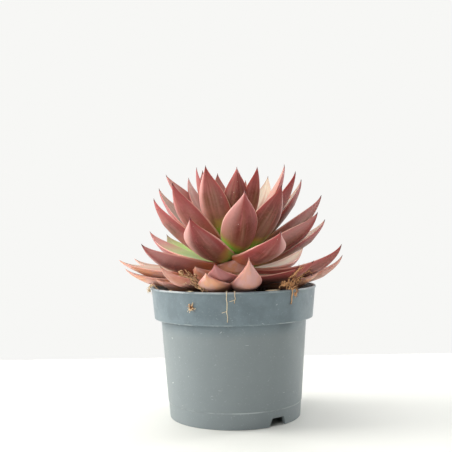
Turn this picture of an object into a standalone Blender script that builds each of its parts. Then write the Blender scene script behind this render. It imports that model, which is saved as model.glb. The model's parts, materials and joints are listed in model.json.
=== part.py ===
# Potted echeveria: a nursery pot, its peat, the rosette on its short stem and the dry roots at the rim.
# Metres, +Z up. The origin is on the surface the pot stands on, in the middle of the pot's foot.

import math
import random

import bmesh
import bpy
from mathutils import Vector
from mathutils.bvhtree import BVHTree

MM = 0.001
GAP = 0.3 * MM                # clearance between pieces that touch

# Pot: a 12 cm nursery pot with a wide collar
POT_STEPS = 64
POT_HEIGHT = 93.6 * MM
RIM_R = 60.0 * MM
LIP_HEIGHT = 1.6 * MM         # bead along the top edge
LIP_PROUD = 0.5 * MM
COLLAR_HEIGHT = 22.7 * MM
COLLAR_FOOT_R = 57.4 * MM
BODY_TOP_R = 52.75 * MM
FOOT_R = 47.2 * MM
WALL = 1.3 * MM
MOULD_LINE_Z = 11.1 * MM      # faint step round the body
MOULD_STEP = 0.35 * MM
FOOT_RING = 2.4 * MM
FLOOR_UNDER = 6.6 * MM
FLOOR_TOP = 8.1 * MM
NOTCH_TURNS = (40.0, 220.0)   # water notches in the foot, degrees from the front
NOTCH_TOP = 7.5 * MM
NOTCH_BOTTOM = 11.5 * MM
NOTCH_HEIGHT = 6.0 * MM
DRAIN_COUNT = 8
DRAIN_R = 4.0 * MM
DRAIN_RING_R = 33.0 * MM

# Peat: a root ball with a bumpy top and a plain hole for the stem
PEAT_TOP = 87.0 * MM
PEAT_DOME = 1.6 * MM
PEAT_BUMP = 0.7 * MM
HOLE_FLOOR = 72.0 * MM
STEM_R = 7.6 * MM
STEM_TOP_R = 3.0 * MM
STEM_TOP = 118.0 * MM

# Rosette: leaf 0 faces the viewer, older leaves count down and younger ones up
FIRST_LEAF = -33
LAST_LEAF = 27
WITHERED = (-32, -31, -29)    # old leaves that have dried away
SPIRAL_TURN = 137.5           # golden angle between one leaf and the next
LEAF_ZERO_TURN = 8.0
LEAF_ZERO_BASE_Z = 111.8 * MM
BASE_RISE = 0.42 * MM         # along the stem, from one leaf to the next
BASE_R = 3.0 * MM             # leaf bases start this far from the stem's middle
STEEPEST = 76.0               # degrees, which the youngest leaves come near to
TILT_MIDDLE = 0.5             # the leaf that stands at half of it
TILT_SPREAD = 8.5
LEAF_LENGTH = 78.0 * MM
LEAF_WIDTH = 26.0 * MM
LEAF_THICKNESS = 7.8 * MM
LEAF_CHANNEL = 1.3 * MM       # hollow of the upper face
WIDEST_AT = 0.52
BASE_WIDTH = 0.42             # of the leaf's greatest width
LEAF_CURVE = 36.0             # degrees a flat-lying leaf turns up along its length
TIP_CURL = 20.0               # degrees more, in the last fifth
FLANK_OUT = 0.707             # the rounded flank beside the keel: out from it, and its share of the depth
FLANK_DEPTH = 0.67
LEAF_STATIONS = (0.0, 0.13, 0.3, 0.47, 0.63, 0.78, 0.9)

# What single leaves do apart from the spiral: turn and tilt in degrees, length in mm, curve in degrees
STRAYS = {
    -30: (0, 0, -8, 0), -28: (14, 1, -2, -4), -27: (0, 3, -2, 0), -26: (1, 2, -14, 14),
    -25: (0, 3, -3, 0),
    -24: (-1, -2, -16, 0), -23: (5, -5, -20, 0), -22: (0, 2, -3, 0), -21: (-8, 3, -6, 44),
    -20: (12, 1, 0, -14), -19: (-4, 0, 2, 18), -18: (-2, -2, -4, 8), -17: (0, 0, -8, 0),
    -16: (0, -3, -8, 0), -15: (-2, -5, 3, -14), -14: (1, -2, 0, 0), -13: (-5, -8, -6, 6),
    -12: (5, 4, 0, 0), -11: (-13, -4, 2, 22), -10: (3, -3, -2, 0), -9: (0, 0, -4, 0),
    -8: (-4, -3, -2, 16), -7: (-11, -3, -2, 0), -6: (-6, 0, 0, 0), -5: (1, 0, -3, 8),
    -3: (4, -1, -6, 0), -2: (2, 8, -6, 0), -1: (12, 0, -4, 0), 0: (0, 3, -6, 0),
    1: (0, 0, -6, 0), 2: (-2, -5, 0, 0), 3: (-2, 2, -2, 0), 5: (-2, -3, -6, 0),
    6: (-10, -6, -2, 0), 7: (-28, -3, -2, 0), 8: (-18, 9, -4, 0), 9: (2, 4, 0, 0),
    10: (-5, -5, 0, 0), 11: (-37, -7, 2, -25), 12: (-21, -4, -3, 0), 13: (-14, 3, -5, 0),
    14: (-2, -4, -5, 0), 15: (-9, -4, 4, 0), 16: (0, 0, -8, 0), 17: (10, -1, -2, 0),
    18: (-18, -3, 0, 0), 19: (9, 1, 1, 0), 20: (10, 2, -8, 0), 21: (0, 0, -12, 0),
    23: (0, 0, -10, 0),
}

# Dry roots at the rim: each spray fans out of a crumb of peat. Points are turn (degrees), radius and
# height (mm), from the crumb outwards.
ROOT_R = 0.42 * MM
CRUMB_R = 1.7 * MM
SPRAYS = {
    "dry_roots_left": {
        "seed": 1,
        "strands": 5,
        "spread": 2.4,
        "route": ((-25, 54, 90.5), (-25, 59, 96), (-27, 64, 100), (-29, 67, 104.5), (-32, 69, 109)),
    },
    "dry_roots_right": {
        "seed": 1,
        "strands": 7,
        "spread": 3.6,
        "route": ((36, 53, 91), (36, 59, 96), (36, 64, 99.5), (36, 67.5, 103.5), (36.5, 69.5, 108)),
    },
    "rim_fibres": {
        "seed": 3,
        "strands": 4,
        "spread": 2.0,
        "route": ((-80, 55.5, 91.5), (-80.5, 58.5, 95.2), (-81, 61.2, 95), (-81.5, 62, 91.5)),
    },
}
# Single roots that hang over the rim and down the collar: turn, how far down, and a side root's depth
THREADS = {
    "root_thread_long": {"turn": -4.7, "foot": 20.0, "side": 12.5},
    "root_thread_short": {"turn": 0.4, "foot": 7.5, "side": None},
    "root_thread_right": {"turn": 40.5, "foot": 10.0, "side": None},
}
THREAD_R = 0.36 * MM
THREAD_RELIEF = 0.15 * MM
HUSK_TURN = -28.6             # a star-shaped husk stuck to the collar
HUSK_Z = 82.6 * MM
HUSK_REACH = 3.4 * MM
HUSK_ARMS = 5


def clear_scene():
    for obj in list(bpy.data.objects):
        bpy.data.objects.remove(obj, do_unlink=True)


def new_collection(name):
    collection = bpy.data.collections.new(name)
    bpy.context.scene.collection.children.link(collection)
    return collection


def plain_material(name, color, roughness, metallic=0.0):
    material = bpy.data.materials.new(name)
    material.use_nodes = True
    shader = material.node_tree.nodes["Principled BSDF"]
    shader.inputs["Base Color"].default_value = (*color, 1.0)
    shader.inputs["Roughness"].default_value = roughness
    shader.inputs["Metallic"].default_value = metallic
    material.diffuse_color = (*color, 1.0)
    return material


def add_object(name, mesh, collection, material=None):
    obj = bpy.data.objects.new(name, mesh)
    collection.objects.link(obj)
    if material:
        mesh.materials.clear()
        mesh.materials.append(material)
    return obj


def evaluated_mesh(obj):
    """A mesh of the object as the viewport shows it, with its modifiers applied."""
    depsgraph = bpy.context.evaluated_depsgraph_get()
    return bpy.data.meshes.new_from_object(obj.evaluated_get(depsgraph), depsgraph=depsgraph)


def shade(mesh, degrees=35.0):
    mesh.shade_smooth()
    mesh.set_sharp_from_angle(angle=math.radians(degrees))


def turned(name, profile, steps, collection, material):
    """A profile of (radius, height) points, turned round Z. It runs down the outer side."""
    mesh = bpy.data.meshes.new(name)
    edges = [(i, i + 1) for i in range(len(profile) - 1)]
    mesh.from_pydata([(r, 0.0, z) for r, z in profile], edges, [])
    obj = add_object(name, mesh, collection, material)
    screw = obj.modifiers.new("Turn", "SCREW")
    screw.angle = math.tau
    screw.steps = steps
    screw.render_steps = steps
    screw.use_merge_vertices = True
    screw.merge_threshold = 0.00001
    return obj


def apply_modifiers(obj):
    mesh = evaluated_mesh(obj)
    old = obj.data
    obj.modifiers.clear()
    obj.data = mesh
    bpy.data.meshes.remove(old)
    mesh.name = obj.name
    return mesh


def boolean(obj, collection, operation, solver="EXACT"):
    modifier = obj.modifiers.new(operation.title(), "BOOLEAN")
    modifier.operation = operation
    modifier.operand_type = "COLLECTION"
    modifier.collection = collection
    modifier.solver = solver


def heading(degrees):
    """Unit vector pointing away from the pot's axis, turned this far from the front (-Y) towards +X."""
    turn = math.radians(degrees)
    return Vector((math.sin(turn), -math.cos(turn), 0.0))


# Pot

def body_radius(z):
    """Outer radius of the tapered body below the collar."""
    share = z / (POT_HEIGHT - COLLAR_HEIGHT)
    return FOOT_R + (BODY_TOP_R - FOOT_R) * share


def collar_radius(z):
    share = (z - (POT_HEIGHT - COLLAR_HEIGHT)) / COLLAR_HEIGHT
    return COLLAR_FOOT_R + (RIM_R - LIP_PROUD - COLLAR_FOOT_R) * share


def pot_profile():
    shoulder = POT_HEIGHT - COLLAR_HEIGHT
    lip_foot = POT_HEIGHT - LIP_HEIGHT
    round_off = 0.4 * MM
    return [
        (0.0, FLOOR_TOP),
        (body_radius(FLOOR_TOP) - WALL - 2 * MM, FLOOR_TOP),
        (body_radius(FLOOR_TOP) - WALL, FLOOR_TOP + 2 * MM),
        (body_radius(shoulder) - WALL, shoulder + WALL - 1 * MM),
        (body_radius(shoulder) - WALL + 1 * MM, shoulder + WALL),
        (COLLAR_FOOT_R - WALL - 1 * MM, shoulder + WALL),
        (COLLAR_FOOT_R - WALL, shoulder + WALL + 1 * MM),
        (RIM_R - LIP_PROUD - WALL, POT_HEIGHT - round_off),
        (RIM_R - LIP_PROUD - WALL + round_off, POT_HEIGHT),
        (RIM_R - round_off, POT_HEIGHT),
        (RIM_R, POT_HEIGHT - round_off),
        (RIM_R, lip_foot + round_off),
        (collar_radius(lip_foot), lip_foot),
        (COLLAR_FOOT_R, shoulder + round_off),
        (COLLAR_FOOT_R - round_off, shoulder),
        (BODY_TOP_R + 0.6 * MM, shoulder),
        (BODY_TOP_R, shoulder - 0.6 * MM),
        (body_radius(MOULD_LINE_Z) + MOULD_STEP, MOULD_LINE_Z + MOULD_STEP),
        (body_radius(MOULD_LINE_Z), MOULD_LINE_Z),
        (FOOT_R, round_off),
        (FOOT_R - round_off, 0.0),
        (FOOT_R - FOOT_RING, 0.0),
        (FOOT_R - FOOT_RING, FLOOR_UNDER),
        (0.0, FLOOR_UNDER),
    ]


def notch_cutter(turn, cutters):
    """A block with slanted sides, standing across the foot ring."""
    mesh = bpy.data.meshes.new("notch_cutter")
    bm = bmesh.new()
    bmesh.ops.create_cube(bm, size=1.0)
    for vert in bm.verts:
        width = NOTCH_TOP if vert.co.z > 0 else NOTCH_BOTTOM
        vert.co.x *= width
        vert.co.y *= 12 * MM
        vert.co.z = NOTCH_HEIGHT if vert.co.z > 0 else -1 * MM
    bm.to_mesh(mesh)
    bm.free()
    cutter = add_object("notch_cutter", mesh, cutters)
    cutter.location = heading(turn) * FOOT_R
    cutter.rotation_euler = (0.0, 0.0, math.radians(turn))
    return cutter


def drain_cutter(index, cutters):
    mesh = bpy.data.meshes.new("drain_cutter")
    bm = bmesh.new()
    bmesh.ops.create_cone(bm, cap_ends=True, segments=16, radius1=DRAIN_R, radius2=DRAIN_R, depth=6 * MM)
    bm.to_mesh(mesh)
    bm.free()
    cutter = add_object("drain_cutter", mesh, cutters)
    middle = (FLOOR_UNDER + FLOOR_TOP) / 2
    cutter.location = heading((index + 0.5) * 360.0 / DRAIN_COUNT) * DRAIN_RING_R + Vector((0, 0, middle))
    return cutter


def build_pot(parts, cutters):
    plastic = plain_material("moulded polypropylene", (0.22, 0.25, 0.26), 0.45)
    pot = turned("pot", pot_profile(), POT_STEPS, parts, plastic)
    for turn in NOTCH_TURNS:
        notch_cutter(turn, cutters)
    for index in range(DRAIN_COUNT):
        drain_cutter(index, cutters)
    for cutter in cutters.objects:
        cutter.hide_render = True
        cutter.display_type = "WIRE"
    boolean(pot, cutters, "DIFFERENCE")
    apply_modifiers(pot)
    shade(pot.data)
    return pot


# Peat

def peat_surface(x, y):
    """Height of the peat's bumpy top."""
    reach = min(math.hypot(x, y) / COLLAR_FOOT_R, 1.0)
    px, py = x / MM, y / MM
    bumps = math.sin(0.31 * px + 1.0) * math.cos(0.27 * py) + 0.6 * math.sin(0.19 * px - 0.42 * py + 2.0)
    return PEAT_TOP + PEAT_DOME * (1 - reach ** 2) + PEAT_BUMP * bumps


def build_peat(parts):
    shoulder = POT_HEIGHT - COLLAR_HEIGHT + WALL
    hole_r = STEM_R + GAP
    wall_top = COLLAR_FOOT_R - WALL + (PEAT_TOP - shoulder) * 0.09 - GAP
    rings = [hole_r + (wall_top - hole_r) * i / 7 for i in range(8)]
    profile = [(0.0, HOLE_FLOOR), (hole_r, HOLE_FLOOR)]
    profile += [(r, PEAT_TOP) for r in rings]
    profile += [
        (COLLAR_FOOT_R - WALL - GAP, shoulder + 1.2 * MM),
        (COLLAR_FOOT_R - WALL - 1.2 * MM, shoulder + GAP),
        (body_radius(shoulder) - WALL + 0.8 * MM, shoulder + GAP),
        (body_radius(shoulder) - WALL - GAP - 0.1 * MM, shoulder - 1.2 * MM),
        (body_radius(FLOOR_TOP) - WALL - GAP, FLOOR_TOP + 2.2 * MM),
        (body_radius(FLOOR_TOP) - WALL - 2.2 * MM, FLOOR_TOP + GAP),
        (0.0, FLOOR_TOP + GAP),
    ]
    material = plain_material("peat", (0.045, 0.028, 0.018), 0.95)
    peat = turned("peat", profile, POT_STEPS, parts, material)
    mesh = apply_modifiers(peat)
    for vert in mesh.vertices:
        if vert.co.z > PEAT_TOP - 0.01 * MM:
            vert.co.z = peat_surface(vert.co.x, vert.co.y)
    shade(mesh, 50.0)
    return peat


# Rosette

def leaf_shape(index):
    """Turn, tilt and curve in degrees, length, width and thickness in metres."""
    turn, tilt, longer, curve = STRAYS.get(index, (0, 0, 0, 0))
    steep = STEEPEST / (1.0 + math.exp((TILT_MIDDLE - index) / TILT_SPREAD))
    inner = max(0, index)
    outer = max(0, -index)
    return {
        "turn": LEAF_ZERO_TURN - SPIRAL_TURN * index + turn,
        "tilt": steep + tilt,
        "curve": LEAF_CURVE * (1.0 - steep / 90.0) + curve,
        "length": LEAF_LENGTH - 0.05 * MM * max(0, index - 2) ** 2 + longer * MM,
        "width": LEAF_WIDTH - 0.026 * MM * inner ** 2 - 0.0085 * MM * outer ** 2,
        "thickness": LEAF_THICKNESS - 0.009 * MM * inner ** 2 - 0.0018 * MM * outer ** 2,
        "base_z": LEAF_ZERO_BASE_Z + BASE_RISE * index,
    }


def leaf_spine(shape, count=61):
    """Points (share, out, up, slope) along the leaf, with its tip exactly at the length and tilt."""
    step = 1.0 / (count - 1)
    angle = [0.0] * count
    for i in range(count):
        s = i * step
        curl = max(0.0, (s - 0.8) / 0.2) ** 2
        angle[i] = math.radians(shape["curve"] * (s ** 1.7 - 0.4) + TIP_CURL * curl)
    out, up = [0.0], [0.0]
    for i in range(1, count):
        middle = (angle[i] + angle[i - 1]) / 2
        out.append(out[-1] + math.cos(middle) * step)
        up.append(up[-1] + math.sin(middle) * step)
    grow = shape["length"] / math.hypot(out[-1], up[-1])
    turn = math.radians(shape["tilt"]) - math.atan2(up[-1], out[-1])
    points = []
    for i in range(count):
        x = grow * (math.cos(turn) * out[i] - math.sin(turn) * up[i])
        z = grow * (math.sin(turn) * out[i] + math.cos(turn) * up[i])
        points.append((i * step, BASE_R + x, shape["base_z"] + z, angle[i] + turn))
    return points


def leaf_half_width(shape, s):
    """A narrow base, the widest part half way, and a drawn-out tip."""
    if s < WIDEST_AT:
        rise = math.sin(math.pi / 2 * s / WIDEST_AT) ** 1.3
        return shape["width"] / 2 * (BASE_WIDTH + (1 - BASE_WIDTH) * rise)
    fall = (s - WIDEST_AT) / (1 - WIDEST_AT)
    return shape["width"] / 2 * (1 - fall ** 2) ** 1.2


def leaf_depth(shape, s):
    swell = 0.55 + 0.45 * math.sin(math.pi * min(1.0, 0.9 * s + 0.1))
    return shape["thickness"] * swell * min(1.0, (1 - s) / 0.25) ** 0.7


def rim_lift(shape, spine):
    """How far a low leaf is raised so that its keel lies on the rim and doesn't cut it."""
    lowest = POT_HEIGHT + GAP
    lift = 0.0
    for s, out, up, slope in spine:
        channel = LEAF_CHANNEL * math.sin(math.pi * s)
        drop = leaf_depth(shape, s) - channel / 2
        keel_out = out + math.sin(slope) * drop
        keel_up = up - math.cos(slope) * drop
        if RIM_R - 5 * MM < keel_out < RIM_R + 2 * MM:
            lift = max(lift, lowest + 0.5 * MM - keel_up)
    return lift


def leaf_mesh(index):
    """A keeled leaf: six-sided sections along its spine, closed by a base cap and a pointed tip."""
    shape = leaf_shape(index)
    spine = leaf_spine(shape)
    lift = Vector((0.0, 0.0, rim_lift(shape, spine)))
    away = heading(shape["turn"])
    across = away.cross(Vector((0.0, 0.0, 1.0)))
    bm = bmesh.new()
    rings = []
    for station in LEAF_STATIONS:
        s, out, up, slope = spine[round(station * (len(spine) - 1))]
        middle = away * out + Vector((0.0, 0.0, up)) + lift
        normal = Vector((0.0, 0.0, math.cos(slope))) - away * math.sin(slope)
        half = leaf_half_width(shape, s)
        depth = leaf_depth(shape, s)
        channel = LEAF_CHANNEL * math.sin(math.pi * s)
        flank = FLANK_DEPTH * depth
        section = [
            (1.0, 0.0), (0.0, -channel), (-1.0, 0.0),
            (-FLANK_OUT, -flank), (0.0, -depth), (FLANK_OUT, -flank),
        ]
        ring = [
            bm.verts.new(middle + across * (half * x) + normal * (y + channel / 2))
            for x, y in section
        ]
        rings.append(ring)
    _, out, up, _ = spine[-1]
    tip = bm.verts.new(away * out + Vector((0.0, 0.0, up)) + lift)
    for near, far in zip(rings, rings[1:]):
        for i in range(6):
            j = (i + 1) % 6
            bm.faces.new((near[i], near[j], far[j], far[i]))
    for i in range(6):
        bm.faces.new((rings[-1][i], rings[-1][(i + 1) % 6], tip))
    bm.faces.new(list(reversed(rings[0])))
    bmesh.ops.triangulate(bm, faces=bm.faces[:])
    bmesh.ops.recalc_face_normals(bm, faces=bm.faces[:])
    mesh = bpy.data.meshes.new("leaf")
    bm.to_mesh(mesh)
    bm.free()
    return mesh


def build_rosette(parts):
    """The stem, with every leaf fused to it."""
    leaf_skin = plain_material("echeveria leaf", (0.30, 0.10, 0.09), 0.45)
    stem_profile = [
        (0.0, STEM_TOP + 3 * MM),
        (STEM_TOP_R, STEM_TOP),
        (STEM_R, LEAF_ZERO_BASE_Z - 8 * MM),
        (STEM_R, HOLE_FLOOR + GAP + 2 * MM),
        (STEM_R - 2 * MM, HOLE_FLOOR + GAP),
        (0.0, HOLE_FLOOR + GAP),
    ]
    rosette = turned("rosette", stem_profile, 16, parts, leaf_skin)
    apply_modifiers(rosette)
    leaves = new_collection("leaves")
    for index in range(FIRST_LEAF, LAST_LEAF + 1):
        if index not in WITHERED:
            add_object("leaf", leaf_mesh(index), leaves, leaf_skin)
    boolean(rosette, leaves, "UNION")
    keep_outer_shell(apply_modifiers(rosette))
    remove_collection(leaves)
    shade(rosette.data, 50.0)
    return rosette


def keep_outer_shell(mesh):
    """Fusing can seal small hollows between leaf bases. They are filled: only the largest shell stays."""
    bm = bmesh.new()
    bm.from_mesh(mesh)
    left = set(bm.verts)
    shells = []
    while left:
        shell, edge = set(), [left.pop()]
        while edge:
            vert = edge.pop()
            shell.add(vert)
            for link in vert.link_edges:
                other = link.other_vert(vert)
                if other in left:
                    left.discard(other)
                    edge.append(other)
        shells.append(shell)
    shells.sort(key=len)
    for shell in shells[:-1]:
        bmesh.ops.delete(bm, geom=list(shell), context="VERTS")
    bm.to_mesh(mesh)
    bm.free()


def remove_collection(collection):
    for obj in list(collection.objects):
        bpy.data.objects.remove(obj, do_unlink=True)
    bpy.data.collections.remove(collection)


# Dry roots

def at_pot(turn, radius, height):
    """The point at this turn in degrees, and this radius and height in metres."""
    return heading(turn) * radius + Vector((0.0, 0.0, height))


def smooth_route(points, per_span):
    """A smooth curve through the points."""
    ends = [points[0] * 2 - points[1], *points, points[-1] * 2 - points[-2]]
    route = []
    for a, b, c, d in zip(ends, ends[1:], ends[2:], ends[3:]):
        for i in range(per_span):
            t = i / per_span
            bend = 2 * a - 5 * b + 4 * c - d
            twist = 3 * b - a - 3 * c + d
            route.append(0.5 * (2 * b + (c - a) * t + bend * t ** 2 + twist * t ** 3))
    route.append(points[-1])
    return route


def bent_clear(route, radius, obstacles):
    """The route, pushed off every surface that it would touch."""
    clear = []
    for point in route:
        for _ in range(3):
            for tree in obstacles:
                hit, normal, _, distance = tree.find_nearest(point)
                offset = point - hit
                inside = offset.dot(normal) < -0.5 * distance
                need = radius + GAP + THREAD_RELIEF
                if inside:
                    point = hit + normal * need
                elif distance < need:
                    point = hit + offset.normalized() * need
        clear.append(point)
    return clear


def root_tube(name, route, radius, collection):
    """One root: a tube along the route, with closed ends."""
    data = bpy.data.curves.new(name, "CURVE")
    data.dimensions = "3D"
    data.bevel_depth = radius
    data.bevel_resolution = 0
    data.use_fill_caps = True
    spline = data.splines.new("POLY")
    spline.points.add(len(route) - 1)
    for point, place in zip(spline.points, route):
        point.co = (*place, 1.0)
    curve = bpy.data.objects.new(name, data)
    collection.objects.link(curve)
    mesh = evaluated_mesh(curve)
    bpy.data.objects.remove(curve, do_unlink=True)
    bm = bmesh.new()
    bm.from_mesh(mesh)
    bmesh.ops.remove_doubles(bm, verts=bm.verts, dist=0.000001)
    bmesh.ops.recalc_face_normals(bm, faces=bm.faces[:])
    bm.to_mesh(mesh)
    bm.free()
    return add_object(name, mesh, collection)


def crumb(name, place, radius, collection, material):
    """A small lump of peat that the roots come out of."""
    bm = bmesh.new()
    bmesh.ops.create_icosphere(bm, subdivisions=1, radius=radius)
    for vert in bm.verts:
        vert.co.z *= 0.8
        vert.co += place
    mesh = bpy.data.meshes.new(name)
    bm.to_mesh(mesh)
    bm.free()
    return add_object(name, mesh, collection, material)


def fuse(base, roots):
    """Join the roots to the base as one body."""
    boolean(base, roots, "UNION", "MANIFOLD")
    keep_outer_shell(apply_modifiers(base))
    remove_collection(roots)
    shade(base.data, 60.0)


def build_spray(name, spray, parts, material, obstacles):
    draw = random.Random(spray["seed"])
    path = [at_pot(turn, radius * MM, height * MM) for turn, radius, height in spray["route"]]
    start = bent_clear([path[0]], CRUMB_R, obstacles)[0]
    base = crumb(name, start, CRUMB_R, parts, material)
    roots = new_collection("roots")
    for _ in range(spray["strands"]):
        points = [start + Vector([draw.uniform(-0.4, 0.4) for _ in range(3)]) * CRUMB_R]
        reach = draw.uniform(0.75, 1.0)
        for order, place in enumerate(path[1:], 1):
            spread = spray["spread"] * MM * order / (len(path) - 1)
            stray = Vector([draw.uniform(-1, 1) for _ in range(3)]) * spread
            points.append(start + (place - start) * reach + stray)
        route = bent_clear(smooth_route(points[1:], 2), ROOT_R, obstacles)
        root_tube("root", points[:1] + route, ROOT_R, roots)
    fuse(base, roots)
    return base


def build_thread(name, thread, parts, material, obstacles):
    """A root that leaves the peat, crosses the rim and lies down the collar."""
    turn = thread["turn"]
    proud = THREAD_R + GAP + THREAD_RELIEF
    foot = POT_HEIGHT - thread["foot"] * MM
    inner = RIM_R - LIP_PROUD - WALL
    points = [
        at_pot(turn, inner - 4 * MM, PEAT_TOP + 3.5 * MM),
        at_pot(turn, inner - 1.1 * MM, POT_HEIGHT - 2 * MM),
        at_pot(turn, inner - 0.5 * MM, POT_HEIGHT + proud / 2),
        at_pot(turn, inner + 0.6 * MM, POT_HEIGHT + proud + 0.2 * MM),
        at_pot(turn, RIM_R - 0.3 * MM, POT_HEIGHT + proud + 0.1 * MM),
        at_pot(turn, RIM_R + proud, POT_HEIGHT - 0.6 * MM),
        at_pot(turn, RIM_R + proud, POT_HEIGHT - 2.6 * MM),
        at_pot(turn, collar_radius(POT_HEIGHT - 5 * MM) + proud, POT_HEIGHT - 5 * MM),
        at_pot(turn, collar_radius(foot) + proud, foot),
    ]
    route = bent_clear(smooth_route(points, 2), THREAD_R, obstacles)
    base = root_tube(name, route, THREAD_R, parts)
    base.data.materials.append(material)
    if thread["side"]:
        roots = new_collection("roots")
        height = POT_HEIGHT - thread["side"] * MM
        side = []
        for i, aside in enumerate((0.1, -1.6, -3.4)):
            side.append(at_pot(turn + aside, collar_radius(height) + proud, height - i * 0.5 * MM))
        root_tube("side_root", side, THREAD_R, roots)
        fuse(base, roots)
    return base


def build_husk(parts, material):
    """Short arms round a flat crumb, 0.3 mm off the collar."""
    out = heading(HUSK_TURN)
    across = out.cross(Vector((0.0, 0.0, 1.0)))
    middle = at_pot(HUSK_TURN, collar_radius(HUSK_Z) + 2 * GAP + ROOT_R, HUSK_Z)
    base = crumb("husk", Vector((0.0, 0.0, 0.0)), 1.1 * MM, parts, material)
    for vert in base.data.vertices:
        side = vert.co.copy()
        vert.co = middle + across * side.x + out * (side.y * 0.4) + Vector((0.0, 0.0, side.z))
    roots = new_collection("roots")
    for arm in range(HUSK_ARMS):
        angle = math.tau * (arm + 0.3) / HUSK_ARMS
        aim = across * math.cos(angle) + Vector((0.0, 0.0, math.sin(angle)))
        reach = HUSK_REACH * (0.7 + 0.3 * math.cos(3.0 * arm))
        route = [middle, middle + aim * reach * 0.5, middle + aim * reach + out * GAP]
        root_tube("arm", route, ROOT_R * 0.8, roots)
    fuse(base, roots)
    return base


def build_dry_roots(parts, pot, peat, rosette):
    brown = plain_material("dry root", (0.36, 0.20, 0.09), 0.8)
    pale = plain_material("bleached root", (0.62, 0.52, 0.36), 0.7)
    obstacles = []
    for obj in (rosette, pot, peat):
        mesh = evaluated_mesh(obj)
        bm = bmesh.new()
        bm.from_mesh(mesh)
        obstacles.append(BVHTree.FromBMesh(bm))
        bm.free()
    for name, spray in SPRAYS.items():
        build_spray(name, spray, parts, brown, obstacles)
    for name, thread in THREADS.items():
        build_thread(name, thread, parts, pale, obstacles)
    build_husk(parts, brown)


def main():
    clear_scene()
    parts = new_collection("potted_echeveria")
    cutters = new_collection("cutters")
    pot = build_pot(parts, cutters)
    peat = build_peat(parts)
    rosette = build_rosette(parts)
    build_dry_roots(parts, pot, peat, rosette)


main()
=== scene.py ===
# An echeveria with a brown-red rosette, in a scuffed grey nursery pot, on a pale studio table.
import json
import math
import random

import bmesh
import bpy
from mathutils import Matrix, Vector, noise

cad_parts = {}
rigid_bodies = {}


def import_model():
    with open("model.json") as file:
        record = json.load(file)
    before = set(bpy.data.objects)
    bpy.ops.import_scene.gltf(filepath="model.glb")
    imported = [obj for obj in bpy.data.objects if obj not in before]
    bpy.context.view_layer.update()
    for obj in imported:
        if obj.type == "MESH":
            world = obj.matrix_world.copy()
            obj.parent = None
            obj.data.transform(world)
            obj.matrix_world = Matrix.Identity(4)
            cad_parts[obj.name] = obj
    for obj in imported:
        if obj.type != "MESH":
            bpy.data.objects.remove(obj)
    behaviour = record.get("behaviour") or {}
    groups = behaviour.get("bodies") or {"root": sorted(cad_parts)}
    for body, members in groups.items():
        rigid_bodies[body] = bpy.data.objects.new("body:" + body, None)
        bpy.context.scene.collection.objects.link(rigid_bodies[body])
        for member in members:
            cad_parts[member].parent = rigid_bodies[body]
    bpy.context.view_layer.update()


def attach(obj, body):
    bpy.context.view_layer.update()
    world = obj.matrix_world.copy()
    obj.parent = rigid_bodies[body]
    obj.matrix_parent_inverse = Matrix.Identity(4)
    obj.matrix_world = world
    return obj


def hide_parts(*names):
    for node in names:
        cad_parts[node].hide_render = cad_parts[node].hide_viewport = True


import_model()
mm = 0.001
noise.seed_set(1)  # so that the roots wander the same way on every run


# Small helpers

def hexColor(code):
    # sRGB hex to the linear values that the shaders use
    parts = [int(code[i:i + 2], 16) / 255 for i in (1, 3, 5)]
    linear = [c / 12.92 if c <= 0.04045 else ((c + 0.055) / 1.055) ** 2.4 for c in parts]
    return (*linear, 1.0)


def clamp(x):
    return min(1.0, max(0.0, x))


def smooth(low, high, x):
    t = clamp((x - low) / (high - low))
    return t * t * (3 - 2 * t)


def heading(degrees):
    # away from the pot's axis, turned from the front (-Y) towards +X
    turn = math.radians(degrees)
    return Vector((math.sin(turn), -math.cos(turn), 0.0))


def atPot(turn, out, up):
    # a point given by its turn in degrees, and its radius and height in millimetres
    return heading(turn) * out * mm + Vector((0.0, 0.0, up * mm))


def scatter(draw, reach):
    # a random step, at most reach along each axis
    return Vector([draw.uniform(-reach, reach) for _ in range(3)])


def smoothRoute(points, perSpan):
    # a curve through the points, with so many steps from each to the next
    ends = [points[0] * 2 - points[1], *points, points[-1] * 2 - points[-2]]
    route = []
    for a, b, c, d in zip(ends, ends[1:], ends[2:], ends[3:]):
        for i in range(perSpan):
            t = i / perSpan
            bend = 2 * a - 5 * b + 4 * c - d
            twist = 3 * b - a - 3 * c + d
            route.append(0.5 * (2 * b + (c - a) * t + bend * t ** 2 + twist * t ** 3))
    route.append(points[-1])
    return route


def feed(tree, node, inputs):
    # each input by name or number: a value is set on the socket, another node's socket is linked to it
    for key, value in inputs.items():
        if isinstance(value, bpy.types.NodeSocket):
            tree.links.new(value, node.inputs[key])
        else:
            node.inputs[key].default_value = value


def addNode(tree, kind, inputs=None, **settings):
    # one node with its settings and what feeds it; gives back its outputs
    node = tree.nodes.new(kind)
    for name, value in settings.items():
        setattr(node, name, value)
    feed(tree, node, inputs or {})
    return node.outputs


def newMaterial(name):
    material = bpy.data.materials.new(name)
    material.use_nodes = True
    tree = material.node_tree
    return material, tree, tree.nodes["Principled BSDF"]


def newPile():
    # what a mesh is gathered in: points, faces, and the vectors that its material reads at each point
    return {"points": [], "faces": [], "vectors": {}}


def addPoints(pile, points, **vectors):
    # a vector is one for all of these points, or a list with one for each
    pile["points"].extend(points)
    for name, value in vectors.items():
        values = value if isinstance(value, list) else [value] * len(points)
        pile["vectors"].setdefault(name, []).extend(values)


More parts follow.
